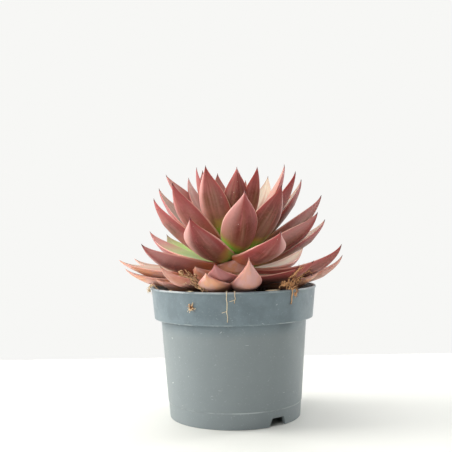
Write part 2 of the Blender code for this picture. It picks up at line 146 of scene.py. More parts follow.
def addRings(pile, rings, **vectors):
    # joins closed rings of points, all of one count, by quads, and closes both ends
    start = len(pile["points"])
    count = len(rings[0])
    last = start + (len(rings) - 1) * count
    addPoints(pile, [point for ring in rings for point in ring], **vectors)
    for near in range(start, last, count):
        for i in range(count):
            j = (i + 1) % count
            pile["faces"].append((near + i, near + j, near + count + j, near + count + i))
    pile["faces"].append(tuple(start + i for i in reversed(range(count))))
    pile["faces"].append(tuple(last + i for i in range(count)))


def addTube(pile, route, radii, sides, look):
    # a root or fibre: a tube whose radius follows the list
    rings = []
    side = (route[1] - route[0]).normalized().orthogonal().normalized()
    for i, point in enumerate(route):
        ahead = (route[min(i + 1, len(route) - 1)] - route[max(i - 1, 0)]).normalized()
        side = (side - ahead * side.dot(ahead)).normalized()
        other = ahead.cross(side)
        ring = []
        for k in range(sides):
            angle = math.tau * k / sides
            ring.append(point + (side * math.cos(angle) + other * math.sin(angle)) * radii[i])
        rings.append(ring)
    addRings(pile, rings, look=look)


def tapered(thick, loss, count):
    # radii for a tube: the first given in millimetres, and less by up to this share along it
    return [thick * mm * (1 - loss * i / count) for i in range(count)]


def addLump(pile, middle, size, draw, look, subdivisions=1):
    # an uneven crumb, squashed at random
    bm = bmesh.new()
    bmesh.ops.create_icosphere(bm, subdivisions=subdivisions, radius=1.0)
    squash = Vector([draw.uniform(0.55, 1.1) for _ in range(3)])
    axis = scatter(draw, 1).normalized()
    spin = Matrix.Rotation(draw.uniform(0, math.tau), 3, axis)
    shift = draw.uniform(0, 50)
    start = len(pile["points"])
    for face in bm.faces:
        pile["faces"].append(tuple(start + vert.index for vert in face.verts))
    points = []
    for vert in bm.verts:
        rough = 1 + 0.45 * noise.noise(vert.co * 1.6 + Vector((shift, 0, 0)))
        place = Vector((vert.co.x * squash.x, vert.co.y * squash.y, vert.co.z * squash.z)) * rough
        points.append(middle + (spin @ place) * size)
    addPoints(pile, points, look=look)
    bm.free()


def addObject(name, data):
    thing = bpy.data.objects.new(name, data)
    bpy.context.scene.collection.objects.link(thing)
    return thing


def addPiece(name, pile, material, slotName, *nodes):
    mesh = bpy.data.meshes.new(name)
    mesh.from_pydata([tuple(p) for p in pile["points"]], [], pile["faces"])
    for key, values in pile["vectors"].items():
        layer = mesh.attributes.new(key, "FLOAT_VECTOR", "POINT")
        layer.data.foreach_set("vector", [c for value in values for c in value])
    mesh.shade_smooth()
    mesh.materials.append(material)
    piece = addObject(name, mesh)
    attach(piece, "root")
    if nodes:
        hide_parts(*nodes)
    return piece


# Studio: a pale table against a pale wall, soft white light from all round and most from behind
studio = {
    "lens": 60.5,                             # mm on a 36 mm sensor
    "eye": (-0.004573, -0.5551, 0.1369),      # level with the rosette
    "roll": 0.94,                             # degrees
    "tableEdge": 0.24,                        # how far behind the pot the table ends, in metres
    "wallGap": 0.35,                          # from the table's edge to the wall
    "tableColor": "#dcddd8",
    "wallGlow": "#f7f7f5",                    # the wall is lit from behind, as a light box is
    "skyBright": 0.85,                        # from the window's side, above and behind
    "skyDim": 0.06,                           # from the front right
    "skyToward": (-0.66, 0.42, 0.62),
    "lampAim": (0, 0, 0.09),
    "lamps": {
        # name: place, size, watts, colour
        "window": ((-1.3, 0.1, 0.75), 0.9, 22.0, "#fffdf8"),
        "backRight": ((0.95, 0.5, 0.5), 0.6, 9.0, "#ffffff"),
        "overhead": ((-0.25, 0.2, 1.2), 0.8, 5.0, "#ffffff"),
        "front": ((-0.45, -1.2, 0.55), 0.5, 3.5, "#ffffff"),
    },
}


def makeStudio():
    scene = bpy.context.scene
    camera = addObject("camera", bpy.data.cameras.new("camera"))
    camera.data.lens = studio["lens"]
    camera.data.sensor_width = 36.0
    camera.location = studio["eye"]
    camera.rotation_euler = (math.radians(90), math.radians(studio["roll"]), 0.0)
    bpy.context.scene.camera = camera

    for name, (place, size, watts, color) in studio["lamps"].items():
        lamp = addObject(name, bpy.data.lights.new(name, "AREA"))
        lamp.data.shape = "DISK"
        lamp.data.size = size
        lamp.data.energy = watts
        lamp.data.color = hexColor(color)[:3]
        lamp.location = place
        aim = Vector(studio["lampAim"]) - Vector(place)
        lamp.rotation_euler = aim.to_track_quat("-Z", "Y").to_euler()

    # a soft room: bright towards the window, dim at the front right
    world = bpy.data.worlds.new("studio")
    world.use_nodes = True
    tree = world.node_tree
    toward = addNode(tree, "ShaderNodeTexCoord")["Generated"]
    window = Vector(studio["skyToward"]).normalized()
    facing = addNode(tree, "ShaderNodeVectorMath", {0: toward, 1: window}, operation="DOT_PRODUCT")["Value"]
    strength = addNode(tree, "ShaderNodeMapRange", {
        "Value": facing, "From Min": -0.75, "From Max": 0.75,
        "To Min": studio["skyDim"], "To Max": studio["skyBright"],
    }, interpolation_type="SMOOTHSTEP")[0]
    feed(tree, tree.nodes["Background"], {"Color": (1.0, 1.0, 1.0, 1.0), "Strength": strength})
    scene.world = world
    scene.view_settings.view_transform = "Standard"
    scene.view_settings.look = "None"

    edge = studio["tableEdge"]
    back = edge + studio["wallGap"]
    plates = [
        ("table", "table paint", [(-3, -3, 0), (3, -3, 0), (3, edge, 0), (-3, edge, 0)], {
            "Base Color": hexColor(studio["tableColor"]), "Roughness": 0.55,
        }),
        ("wall", "glowing wall", [(-3, back, -1), (3, back, -1), (3, back, 2), (-3, back, 2)], {
            "Base Color": (0.0, 0.0, 0.0, 1.0), "Specular IOR Level": 0.0,
            "Emission Color": hexColor(studio["wallGlow"]), "Emission Strength": 1.0,
        }),
    ]
    for name, surface, corners, values in plates:
        material, tree, shader = newMaterial(surface)
        feed(tree, shader, values)
        mesh = bpy.data.meshes.new(name)
        mesh.from_pydata(corners, [], [(0, 1, 2, 3)])
        mesh.materials.append(material)
        addObject(name, mesh)
    print("studio ready")


# Leaves: one rule for the whole spiral, in millimetres and degrees
leafRule = {
    "first": -33,
    "last": 27,
    "withered": (-32, -31, -29),
    "spiralTurn": 137.5,          # golden angle
    "zeroTurn": 8.0,
    "zeroBase": 111.8,            # height where leaf 0 leaves the stem
    "baseRise": 0.42,
    "baseOut": 3.0,
    "steepest": 76.0,
    "tiltMiddle": 0.5,
    "tiltSpread": 8.5,
    "length": 77.75,
    "width": 26.0,
    "thickness": 7.8,
    "channel": 1.3,
    "shorter": 0.05,              # mm, times the square of the steps from leaf 2 inwards
    "narrower": (0.026, 0.0085),  # the same for the width, inwards and outwards from leaf 0
    "thinner": (0.009, 0.0018),
    "curve": 36.0,
    "tipCurl": 20.0,
    "curlFrom": 0.8,              # where along the leaf its tip starts to curl, and over what share
    "curlOver": 0.2,
    "pointLength": 3.0,           # of the hard point at the tip
    "rimReach": (55, 62),         # from the inside of the pot's rim to its outside
    "rimTop": 94.4,               # where a leaf's keel may lie on it
    "perRing": 8,                 # leaves in one mesh
    "stations": 68,
    "around": 34,
}

# Where single leaves leave the spiral: turn, tilt, length, curve
leafStrays = {
    -30: (0, 0, -8, 0), -28: (14, 1, -2, -4), -27: (0, 3, -2, 0), -26: (1, 2, -14, 14),
    -25: (0, 3, -3, 0),
    -24: (-1, -2, -16, 0), -23: (5, -5, -20, 0), -22: (0, 2, -3, 0), -21: (-8, 3, -6, 44),
    -20: (12, 1, 0, -14), -19: (-4, 0, 2, 18), -18: (-2, -2, -4, 8), -17: (0, 0, -8, 0),
    -16: (0, -3, -8, 0), -15: (-2, -5, 3, -14), -14: (1, -2, 0, 0), -13: (-5, -8, -6, 6),
    -12: (5, 4, 0, 0), -11: (-13, -4, 2, 22), -10: (3, -3, -2, 0), -9: (0, 0, -4, 0),
    -8: (-4, -3, -2, 16), -7: (-11, -3, -2, 0), -6: (-6, 0, 0, 0), -5: (1, 0, -3, 8),
    -3: (4, -1, -6, 0), -2: (2, 8, -6, 0), -1: (12, 0, -4, 0), 0: (0, 3, -6, 0),
    1: (0, 0, -6, 0), 2: (-2, -5, 0, 0), 3: (-2, 2, -2, 0), 5: (-2, -3, -6, 0),
    6: (-10, -6, -2, 0), 7: (-28, -3, -2, 0), 8: (-18, 9, -4, 0), 9: (2, 4, 0, 0),
    10: (-5, -5, 0, 0), 11: (-37, -7, 2, -25), 12: (-21, -4, -3, 0), 13: (-14, 3, -5, 0),
    14: (-2, -4, -5, 0), 15: (-9, -4, 4, 0), 16: (0, 0, -8, 0), 17: (10, -1, -2, 0),
    18: (-18, -3, 0, 0), 19: (9, 1, 1, 0), 20: (10, 2, -8, 0), 21: (0, 0, -12, 0),
    23: (0, 0, -10, 0),
}

# What sets single leaves apart to the eye. shift: where the keel lies, -1 to 1; keel: how sharp;
# cusp: how suddenly the tip narrows; spine: half width of the tip's point; bow: sideways bend in mm;
# wide, thick: shares of the rule's size; widest: where along it; foot: width at the base, as a share;
# raise: mm at the base and at the tip; age: from fresh to faded; green: how far up the base is green,
# and lean: further on one side; pink and dark: of the whole leaf; flush: a painted highlight, one
# flank painted paler as the lit side, and flank: on which side, 1 or -1; glow: an orange foot; roll:
# turned on its axis, degrees; hook: how far the tip bends aside, mm.
leafLooks = {
    0: {"shift": 0.05, "keel": 0.35, "cusp": 0.9, "wide": 0.95, "bow": 0.6, "raise": (1, 2.4),
        "green": 0.93, "lean": 0.4, "pink": 0.1, "flush": 0.55},
    2: {"roll": 14, "dark": 0.0, "pink": -0.3, "flush": 0.4},
    -2: {"pink": 0.1, "dark": 0.5},
    3: {"dark": 0.0, "pink": 0.2, "roll": -4, "flush": 0.5},
    -3: {"roll": 11, "dark": 0.0, "green": 0.7, "pink": -0.25, "flush": 0.5},
    5: {"shift": -0.45, "keel": 0.9, "green": 0.95, "dark": 0.5, "flush": 0.7, "flank": -1.0},
    -7: {"green": 0.95, "pink": 0.65},
    -5: {"shift": -0.1, "keel": 0.3, "cusp": 0.9, "wide": 1.08, "foot": 0.56, "raise": (4.0, 0.9),
         "green": 0.74, "lean": -0.9, "dark": 0.75, "pink": -0.2, "flush": 0.95},
    -6: {"roll": 4, "dark": 0.0, "pink": -0.3},
    8: {"shift": 0.4, "keel": 1.0, "green": 1.02, "lean": -0.2, "dark": 0.15, "pink": 0.1,
        "flush": 0.7},
    -8: {"shift": 0.2, "keel": 0.4, "cusp": 1.0, "wide": 1.08, "widest": 0.58, "foot": 0.66,
         "raise": (8.5, 2.2), "green": 0.2, "lean": 0.9, "dark": 0.6, "pink": 0.0, "flush": 0.8,
         "flank": -1.0, "glow": 1.0},
    -10: {"roll": -14, "dark": 0.35, "green": 0.15, "glow": 0.9, "pink": -0.2, "flush": 0.5,
          "flank": -1.0},
    9: {"pink": 0.7},
    11: {"roll": 16, "pink": 0.55},
    -11: {"roll": 10, "dark": 0.0, "pink": -0.1, "age": 0.1},
    -12: {"age": 0.0, "green": 1.7, "wide": 1.15, "roll": 6},
    13: {"shift": -0.1, "keel": 1.0, "dark": 0.15},
    -13: {"age": 0.15, "keel": 0.3, "thick": 0.66, "wide": 0.8, "pink": 0.8, "raise": (0, 1)},
    14: {"hook": 1.6, "pink": 0.5},
    15: {"pink": 0.5, "dark": 0.3},
    -15: {"age": 0.8, "pink": -0.2},
    -20: {"age": 0.8, "pink": 0.1},
    -16: {"age": 0.1, "dark": 0.3},
    17: {"pink": 0.8, "dark": 0.4},
    18: {"dark": 0.5, "shift": -0.5, "keel": 0.8},
    -18: {"age": 0.35, "pink": 0.45},
    -19: {"roll": 8, "age": 0.3, "dark": 0.0, "pink": -0.2},
    -21: {"cusp": 0.7, "wide": 0.95, "bow": -2.2, "age": 0.75, "keel": 0.1, "pink": 0.75, "spine": 0.6},
    -24: {"flush": 0.7, "pink": -0.2},
    -26: {"age": 1.0, "pink": 0.25, "flush": 0.8, "keel": 0.1, "cusp": 0.0, "spine": 2.2, "wide": 1.12,
          "widest": 0.66},
}

# what a leaf has where leafLooks doesn't say: plain values, and chance within these bounds
leafPlain = {
    "roll": 0.0, "wide": 1.0, "thick": 1.0, "widest": 0.52, "foot": 0.42, "spine": 0.5, "hook": 0.0,
    "raise": (0.0, 0.0), "pink": 0.0, "dark": 0.0, "flush": 0.0, "flank": 1.0, "glow": 0.0,
}
leafChances = {
    "shift": (-0.22, 0.22), "keel": (0.35, 0.85), "cusp": (0.0, 0.5), "twist": (-5, 5),
    "bow": (-0.9, 0.9), "wave": (0, 20), "lean": (-0.3, 0.3),
}

# two faded leaves that have shrunk back, in front of the stem
stumpShapes = [
    {"turn": 6.0, "tilt": 24.0, "curve": 20.0, "length": 27.0, "width": 27.0, "thickness": 8.5,
     "base": 103.5, "out": 3.0},
    {"turn": -28.0, "tilt": 8.0, "curve": 10.0, "length": 52.0, "width": 24.0, "thickness": 9.0,
     "base": 103.0, "out": 3.0},
]

# the youngest leaves, packed round the growing point; shrink: what each one loses on the one before
heartRule = {
    "count": 9, "tilt": 76, "curve": 4.0, "base": 116.0, "out": 2.2,
    "length": 38, "width": 7.5, "thickness": 2.6,
    "shrink": {"length": 3.4, "width": 0.5, "thickness": 0.15, "out": 0.2},
}

# where each kind of leaf starts its random numbers
leafSeeds = {"look": 500, "spiral": 100, "heart": 300, "stump": 400}


def leafShape(index):
    turn, tilt, longer, curve = leafStrays.get(index, (0, 0, 0, 0))
    rule = leafRule
    steep = rule["steepest"] / (1 + math.exp((rule["tiltMiddle"] - index) / rule["tiltSpread"]))
    inner = max(0, index)
    outer = max(0, -index)
    return {
        "turn": rule["zeroTurn"] - rule["spiralTurn"] * index + turn,
        "tilt": steep + tilt,
        "curve": rule["curve"] * (1 - steep / 90) + curve,
        "length": rule["length"] - rule["shorter"] * max(0, index - 2) ** 2 + longer,
        "width": rule["width"] - rule["narrower"][0] * inner ** 2 - rule["narrower"][1] * outer ** 2,
        "thickness": rule["thickness"] - rule["thinner"][0] * inner ** 2 - rule["thinner"][1] * outer ** 2,
        "base": rule["zeroBase"] + rule["baseRise"] * index,
        "out": rule["baseOut"],
    }


def leafSpine(shape, count):
    # (share, out, up, slope) along the leaf, with the tip at the leaf's length and tilt
    step = 1 / (count - 1)
    angle = []
    for i in range(count):
        s = i * step
        curl = max(0.0, (s - leafRule["curlFrom"]) / leafRule["curlOver"]) ** 2
        angle.append(math.radians(shape["curve"] * (s ** 1.7 - 0.4) + leafRule["tipCurl"] * curl))
    out = [0.0]
    up = [0.0]
    for i in range(1, count):
        middle = (angle[i] + angle[i - 1]) / 2
        out.append(out[-1] + math.cos(middle) * step)
        up.append(up[-1] + math.sin(middle) * step)
    grow = shape["length"] / math.hypot(out[-1], up[-1])
    turn = math.radians(shape["tilt"]) - math.atan2(up[-1], out[-1])
    spine = []
    for i in range(count):
        x = grow * (math.cos(turn) * out[i] - math.sin(turn) * up[i])
        z = grow * (math.sin(turn) * out[i] + math.cos(turn) * up[i])
        spine.append((i * step, shape["out"] + x, shape["base"] + z, angle[i] + turn))
    return spine


def leafHalfWidth(shape, look, s):
    if s < look["widest"]:
        rise = math.sin(math.pi / 2 * s / look["widest"]) ** 1.3
        return shape["width"] / 2 * (look["foot"] + (1 - look["foot"]) * rise)
    fall = (s - look["widest"]) / (1 - look["widest"])
    return shape["width"] / 2 * (1 - fall ** (2 + 0.7 * look["cusp"])) ** (1.2 + 0.5 * look["cusp"])


def leafDepth(shape, s):
    swell = 0.55 + 0.45 * math.sin(math.pi * min(1.0, 0.9 * s + 0.1))
    return shape["thickness"] * swell * min(1.0, (1 - s) / 0.25) ** 0.7


def rimLift(shape, spine):
    # a low leaf's keel lies on the pot's rim and doesn't cut it
    lift = 0.0
    for s, out, up, slope in spine:
        drop = leafDepth(shape, s) - leafRule["channel"] * math.sin(math.pi * s) / 2
        keelOut = out + math.sin(slope) * drop
        keelUp = up - math.cos(slope) * drop
        if leafRule["rimReach"][0] < keelOut < leafRule["rimReach"][1]:
            lift = max(lift, leafRule["rimTop"] - keelUp)
    return lift


def addLeaf(pile, shape, look, seed):
    draw = random.Random(seed)
    chances = {key: draw.uniform(*bounds) for key, bounds in leafChances.items()}
    look = {**leafPlain, **chances, **look}
    half = leafRule["around"] // 2
    spine = leafSpine(shape, leafRule["stations"])
    lift = rimLift(shape, spine)
    away = heading(shape["turn"])
    across = away.cross(Vector((0, 0, 1)))
    shift = look["shift"]
    twist = math.radians(look["twist"])
    roll = math.radians(look["roll"])
    wave = look["wave"]
    raiseFoot, raiseTip = look["raise"]
    rings = []
    places = []
    for s, out, up, slope in spine:
        normal = Vector((0, 0, math.cos(slope))) - away * math.sin(slope)
        raised = lift + raiseFoot * (1 - s) + raiseTip * s
        aside = look["bow"] * math.sin(math.pi * s) - look["hook"] * math.sin(math.pi * s ** 2)
        middle = away * out + Vector((0, 0, up + raised)) + across * aside
        # the tip ends in a short hard point
        least = max(0.1, look["spine"] * min(1.0, (1 - s) * shape["length"] / leafRule["pointLength"]))
        width = max(least, leafHalfWidth(shape, look, s) * look["wide"])
        depth = max(least, leafDepth(shape, s) * look["thick"])
        channel = leafRule["channel"] * math.sin(math.pi * s)
        sharp = look["keel"] * smooth(0.3, 0.85, s)
        turned = roll + twist * math.sin(math.pi * s)
        thin = min(1.0, width / 2)
        ring = []
        for k in range(2 * half):
            under = k >= half
            x = -math.cos(math.pi * (k - half) / half) if under else math.cos(math.pi * k / half)
            u = (x - shift) / (1 - shift) if x > shift else (shift - x) / (1 + shift)
            uneven = noise.noise(Vector((x * 1.3, s * 4.5, wave + under))) * 0.45 * thin * (1 - x * x)
            if under:
                crest = math.sqrt(u * u + 0.006) - 0.077
                y = -depth * ((1 - sharp) * max(0.0, 1 - x * x) ** 0.58 + sharp * (1 - crest) * (1 - u ** 8))
                # the under face never comes through the upper one
                y = min(y + uneven, -(channel + 0.4 * thin) * (1 - x * x))
            else:
                y = -channel * (1 - x * x) + uneven
            ripple = 0.25 * noise.noise(Vector((s * 7, x * 0.5, wave + 9)))
            px = width * x * (1 + 0.02 * ripple) + ripple * abs(x) * 0.6
            py = y + channel / 2
            sideways = px * math.cos(turned) - py * math.sin(turned)
            outward = px * math.sin(turned) + py * math.cos(turned)
            ring.append((middle + across * sideways + normal * outward) * mm)
            edge = k in (0, half)
            places.append((x, s, 0.5 if edge else float(under)))
        rings.append(ring)
    addRings(
        pile, rings, place=places,
        look=(draw.random(), look["age"], look["green"]),
        tone=(look["lean"], look["pink"], look["dark"]),
        flush=(look["flush"], look["flank"], look["glow"]),
    )


# Echeveria cuticle: a thin waxy skin over wet flesh. It glows a little where light comes through the
# edges, its colour runs in lengthwise streaks, and a powdery bloom dulls the gloss.
cuticle = {
    "mahogany": "#7e382f",
    "deepBrown": "#592620",
    "oliveTan": "#8f6f4e",
    # the lower leaf's own tan, painted lighter against the shade between the leaves
    "footTan": "#a3724c",
    "bloomPink": "#c06f6c",
    "marginRed": "#a94648",
    # the pale translucent edge, painted brighter as a highlight along it
    "marginPaleAndLit": "#f0b6a6",
    "tipRed": "#a03a3b",
    "tipMaroon": "#3a1417",
    "limeGreen": "#93c650",
    "baseYellow": "#b79a48",
    # pale pink: the leaf's own bloom on streaks, and a painted highlight on the lit flank
    "bloomAndLitPale": "#d3a39c",
    "ember": "#e58a55",
    "peach": "#e7aa88",
    "fadedPink": "#e0b0a7",
    "fadedCream": "#dcc5a2",
    "mauve": "#b07c7f",
    "upperPink": "#a88570",
    "upperCream": "#c2b69f",
    "upperGreen": "#9cc763",
    "upperRose": "#b8736c",
    "scarCream": "#e8d8c4",
    # painted highlight: the lit pink of the side that faces the window lamp
    "litPink": "#dd8e8a",
    "bloomSheen": "#f3d6d0",
    "litSide": (-0.85, 0.0, 0.5),  # painted highlight: surfaces that face the window lamp are painted a lit pink
    "halfWidth": 13.0,            # mm, for the patterns' scale
    "length": 78.0,
    "patternStep": 400.0,         # how far apart in the pattern two leaves lie
    "streakWidth": 1.1,
    "streakStretch": 0.07,        # a streak is drawn out along the leaf
    "cloudSize": 13.0,
    "poreSpacing": 0.9,           # drawn coarser than real so that they show
    "scarSpacing": 4.5,
    "roughness": 0.4,
}


def makeCuticle():
    look = cuticle
    material, tree, shader = newMaterial("echeveria cuticle")
    parts = {}
    vectors = {
        "place": ("across", "along", "under"),
        "look": ("chance", "age", "green"),
        "tone": ("lean", "pink", "dark"),
        "flush": ("flush", "flank", "glow"),
    }
    for name, keys in vectors.items():
        whole = addNode(tree, "ShaderNodeAttribute", attribute_name=name)["Vector"]
        parts.update(zip(keys, addNode(tree, "ShaderNodeSeparateXYZ", {0: whole})))

    # place on the leaf in millimetres, with each leaf's own part of the pattern
    inputs = {0: parts["across"], 1: parts["along"], 2: parts["chance"]}
    shares = addNode(tree, "ShaderNodeCombineXYZ", inputs)[0]
    size = (look["halfWidth"], look["length"], look["patternStep"])
    leafPlace = addNode(tree, "ShaderNodeVectorMath", {0: shares, 1: size}, operation="MULTIPLY")[0]
    inputs = {0: leafPlace, 1: (1.0, look["streakStretch"], 1.0)}
    drawnOut = addNode(tree, "ShaderNodeVectorMath", inputs, operation="MULTIPLY")[0]
    patterns = [
        ("streaks", drawnOut, look["streakWidth"] * 1.6, 4.0),
        ("broadStreaks", drawnOut, look["streakWidth"] * 7, 2.0),
        ("clouds", leafPlace, look["cloudSize"], 3.0),
        ("mottling", leafPlace, look["poreSpacing"] * 2, 3.0),
    ]
    for name, where, size, detail in patterns:
        inputs = {"Vector": where, "Scale": 1 / size, "Detail": detail, "Roughness": 0.6}
        parts[name] = addNode(tree, "ShaderNodeTexNoise", inputs)["Fac"]
    # how far each surface faces the window lamp, for the painted highlight
    normal = addNode(tree, "ShaderNodeNewGeometry")["Normal"]
    towardLamp = Vector(look["litSide"]).normalized()
    inputs = {0: normal, 1: towardLamp}
    parts["facing"] = addNode(tree, "ShaderNodeVectorMath", inputs, operation="DOT_PRODUCT")["Value"]
    cells = addNode(tree, "ShaderNodeTexVoronoi", {"Vector": leafPlace, "Scale": 1 / look["scarSpacing"]})
    parts["scars"] = cells["Distance"]
    parts["scarChance"] = cells["Color"]
    inputs = {"Vector": leafPlace, "Scale": 1 / look["poreSpacing"]}
    pores = addNode(tree, "ShaderNodeTexVoronoi", inputs)["Distance"]

    # sums: a word stands for an earlier result; pastGreen is how far a point is past the end of the
    # green base, as a share of the leaf's length
    sums = [
        ("side", "ABSOLUTE", "across"),
        ("upper", "SUBTRACT", 1, "under"),
        ("fresh", "SUBTRACT", 1, "age"),
        ("leaning", "MULTIPLY", "across", "lean"),
        ("sided", "MULTIPLY", "across", "flank"),
        ("wavering", "MULTIPLY_ADD", "clouds", 0.2, "along"),
        ("sloping", "MULTIPLY_ADD", "leaning", -0.2, "wavering"),
        ("greenShare", "MINIMUM", "green", 1.25),
        ("greenEnd", "MULTIPLY", "greenShare", 0.46),
        ("pastGreen", "SUBTRACT", "sloping", "greenEnd"),
        ("innerReach", "MULTIPLY_ADD", "green", -0.3, "along"),
        ("pinkCloud", "ADD", "pink", "clouds"),
    ]
    for name, operation, *values in sums:
        inputs = {i: parts.get(value, value) for i, value in enumerate(values)}
        parts[name] = addNode(tree, "ShaderNodeMath", inputs, operation=operation)[0]

    # masks: what each reads, and where it starts and is full
    masks = [
        ("cloudy", "clouds", 0.35, 0.65),
        ("paleCloud", "clouds", 0.42, 0.58),
        ("tanStreak", "broadStreaks", 0.4, 0.62),
        ("midLeaf", "side", 0.9, 0.3),
        ("lowerHalf", "along", 0.66, 0.25),
        ("outward", "side", 0.4, 0.95),
        # painted highlight: the flank that each leaf has painted as lit
        ("onLitFlank", "sided", 0.1, 0.8),
        ("margin", "side", 0.72, 0.95),
        ("edge", "side", 0.955, 0.99),
        ("awayFromTip", "along", 0.96, 0.7),
        ("paleStreak", "broadStreaks", 0.5, 0.66),
        ("atFoot", "along", 0.62, 0.3),
        ("fineStreak", "streaks", 0.5, 0.75),
        ("darkStreak", "streaks", 0.48, 0.3),
        ("mottled", "mottling", 0.45, 0.7),
        ("pinkish", "pinkCloud", 0.35, 1.2),
        ("mauvish", "pink", 0.4, 1.0),
        ("rosy", "pink", 0.1, 0.7),
        ("isGreen", "green", 0.0, 0.2),
        ("yellowFoot", "pastGreen", 0.12, 0.02),
        ("greenFoot", "pastGreen", 0.05, -0.04),
        ("towardTip", "along", 0.66, 0.95),
        ("hardPoint", "along", 0.96, 0.985),
        ("isOld", "age", 0.02, 0.7),
        # painted highlight: where a surface faces the window lamp
        ("paintedLit", "facing", 0.1, 0.95),
        ("greenFace", "green", 0.2, 1.0),
        ("innerFoot", "innerReach", 0.55, 0.2),
        ("scarSpot", "scars", 0.12, 0.07),
        ("fewScars", "scarChance", 0.72, 0.76),
    ]
    for name, source, low, high in masks:
        inputs = {"Value": parts[source], "From Min": low, "From Max": high}
        parts[name] = addNode(tree, "ShaderNodeMapRange", inputs, interpolation_type="SMOOTHSTEP")[0]

    # layers: colour, strength and masks; each one covers those before it
    layers = [
        ("deepBrown", 0.9, "cloudy"),
        ("oliveTan", 0.75, "tanStreak", "midLeaf"),
        ("deepBrown", 0.85, "dark"),
        # the lower part of each leaf: its own tan, painted lighter against the shade that falls between the
        # leaves
        ("footTan", 0.6, "lowerHalf"),
        ("deepBrown", 0.5, "darkStreak"),
        ("bloomPink", 0.5, "fineStreak"),
        ("bloomPink", 0.25, "mottled"),
        ("bloomPink", 0.25, "outward"),
        ("bloomAndLitPale", 0.2, "paleStreak"),
        # painted highlight: a lit pink on the side that faces the window lamp
        ("litPink", 0.7, "paintedLit"),
        ("bloomPink", 0.9, "pinkish"),
        ("marginRed", 0.6, "margin"),
        ("tipRed", 0.65, "towardTip"),
        # painted highlight: one flank painted paler, as the lit side
        ("bloomAndLitPale", 0.85, "flush", "onLitFlank"),
        ("baseYellow", 0.85, "yellowFoot", "isGreen"),
        ("limeGreen", 0.9, "greenFoot", "isGreen"),
        ("ember", 0.85, "glow", "atFoot"),
        ("peach", 0.95, "isOld"),
        ("fadedPink", 0.9, "isOld", "paleCloud"),
        ("fadedCream", 0.5, "isOld", "fineStreak"),
        ("marginRed", 0.35, "isOld", "margin"),
        ("mauve", 0.75, "mauvish"),
        ("upperPink", 0.75, "upper"),
        ("upperCream", 0.75, "upper", "tanStreak"),
        ("upperCream", 0.5, "upper", "fineStreak"),
        ("upperRose", 0.85, "upper", "rosy"),
        ("upperGreen", 0.35, "upper", "lowerHalf", "fresh"),
        ("upperGreen", 0.95, "upper", "innerFoot", "greenFace"),
        # the thin edge: a pale translucent margin, with a painted highlight along it
        ("marginPaleAndLit", 0.7, "edge", "awayFromTip"),
        ("tipMaroon", 0.8, "hardPoint", "fresh"),
        ("scarCream", 0.5, "scarSpot", "fewScars"),
    ]
    color = hexColor(look["mahogany"])
    for name, strength, *wanted in layers:
        mask = strength
        for word in wanted:
            mask = addNode(tree, "ShaderNodeMath", {0: mask, 1: parts[word]}, operation="MULTIPLY")[0]
        inputs = {0: mask, 6: color, 7: hexColor(look[name])}
        color = addNode(tree, "ShaderNodeMix", inputs, data_type="RGBA")[2]

    gloss = addNode(tree, "ShaderNodeMapRange", {
        "Value": parts["clouds"], "From Min": 0.3, "From Max": 0.7,
        "To Min": look["roughness"] - 0.06, "To Max": look["roughness"] + 0.12,
    })[0]
    inputs = {0: pores, 1: 0.4, 2: parts["streaks"]}
    relief = addNode(tree, "ShaderNodeMath", inputs, operation="MULTIPLY_ADD")[0]
    bump = addNode(tree, "ShaderNodeBump", {"Height": relief, "Strength": 0.3, "Distance": 0.25 * mm})[0]
    feed(tree, shader, {
        "Base Color": color,
        "Roughness": gloss,
        "Normal": bump,
        "IOR": 1.45,
        "Subsurface Weight": 0.15,
        "Subsurface Radius": (1.0, 0.35, 0.2),
        "Subsurface Scale": 2.0 * mm,
        "Sheen Weight": 0.12,
        "Sheen Roughness": 0.45,
        "Sheen Tint": hexColor(look["bloomSheen"]),
    })
    return material


def makeRosette():
    material = makeCuticle()
    withered = leafRule["withered"]
    indices = [i for i in range(leafRule["first"], leafRule["last"] + 1) if i not in withered]
    for start in range(0, len(indices), leafRule["perRing"]):
        pile = newPile()
        for index in indices[start:start + leafRule["perRing"]]:
            draw = random.Random(leafSeeds["look"] + index)
            look = {
                "age": clamp((-11 - index) / 14),
                "green": clamp(0.66 - abs(index + 1) / 30),
                "pink": draw.uniform(-0.3, 0.25),
                "dark": draw.uniform(0.0, 0.4) if index > -12 else 0.0,
            }
            look.update(leafLooks.get(index, {}))
            addLeaf(pile, leafShape(index), look, leafSeeds["spiral"] + index)
        addPiece(f"leaves{start // leafRule['perRing']}", pile, material, "leaf", "rosette")

    pile = newPile()
    for k in range(heartRule["count"]):
        shape = {key: heartRule[key] for key in ("curve", "base")}
        shape["turn"] = leafRule["zeroTurn"] - leafRule["spiralTurn"] * (leafRule["last"] + 1 + k)
        shape["tilt"] = heartRule["tilt"] + k
        for key, less in heartRule["shrink"].items():
            shape[key] = heartRule[key] - less * k
        addLeaf(pile, shape, {"age": 0.0, "green": 0.4, "keel": 0.3}, leafSeeds["heart"] + k)
    addPiece("heartLeaves", pile, material, "leaf", "rosette")
    pile = newPile()
    for k, shape in enumerate(stumpShapes):
        look = {"age": 0.6 + 0.4 * k, "green": 0.0, "keel": 0.0, "cusp": 0.0, "spine": 1.5, "flush": 0.6 * k}
        addLeaf(pile, shape, look, leafSeeds["stump"] + k)
    addPiece("stumpLeaves", pile, material, "leaf", "rosette")
    print("rosette ready:", len(indices), "leaves, the heart and", len(stumpShapes), "stumps")


# Stem: corky brown-green, ringed by the scars of fallen leaves, which break its outline
stemShape = {
    "radius": 7.4,
    "foot": 72.8,
    "top": 118.0,
    "topRadius": 3.0,
    "rows": 70,
    "around": 48,
    "scarDepth": 0.35,
    "scarTurns": 1.5,             # radians in a millimetre, so that a scar is about 4 mm high
    "rough": 0.5,
    "grain": 2.5,
    "cork": "#7a5a3c",
    "flesh": "#8a7a42",
}


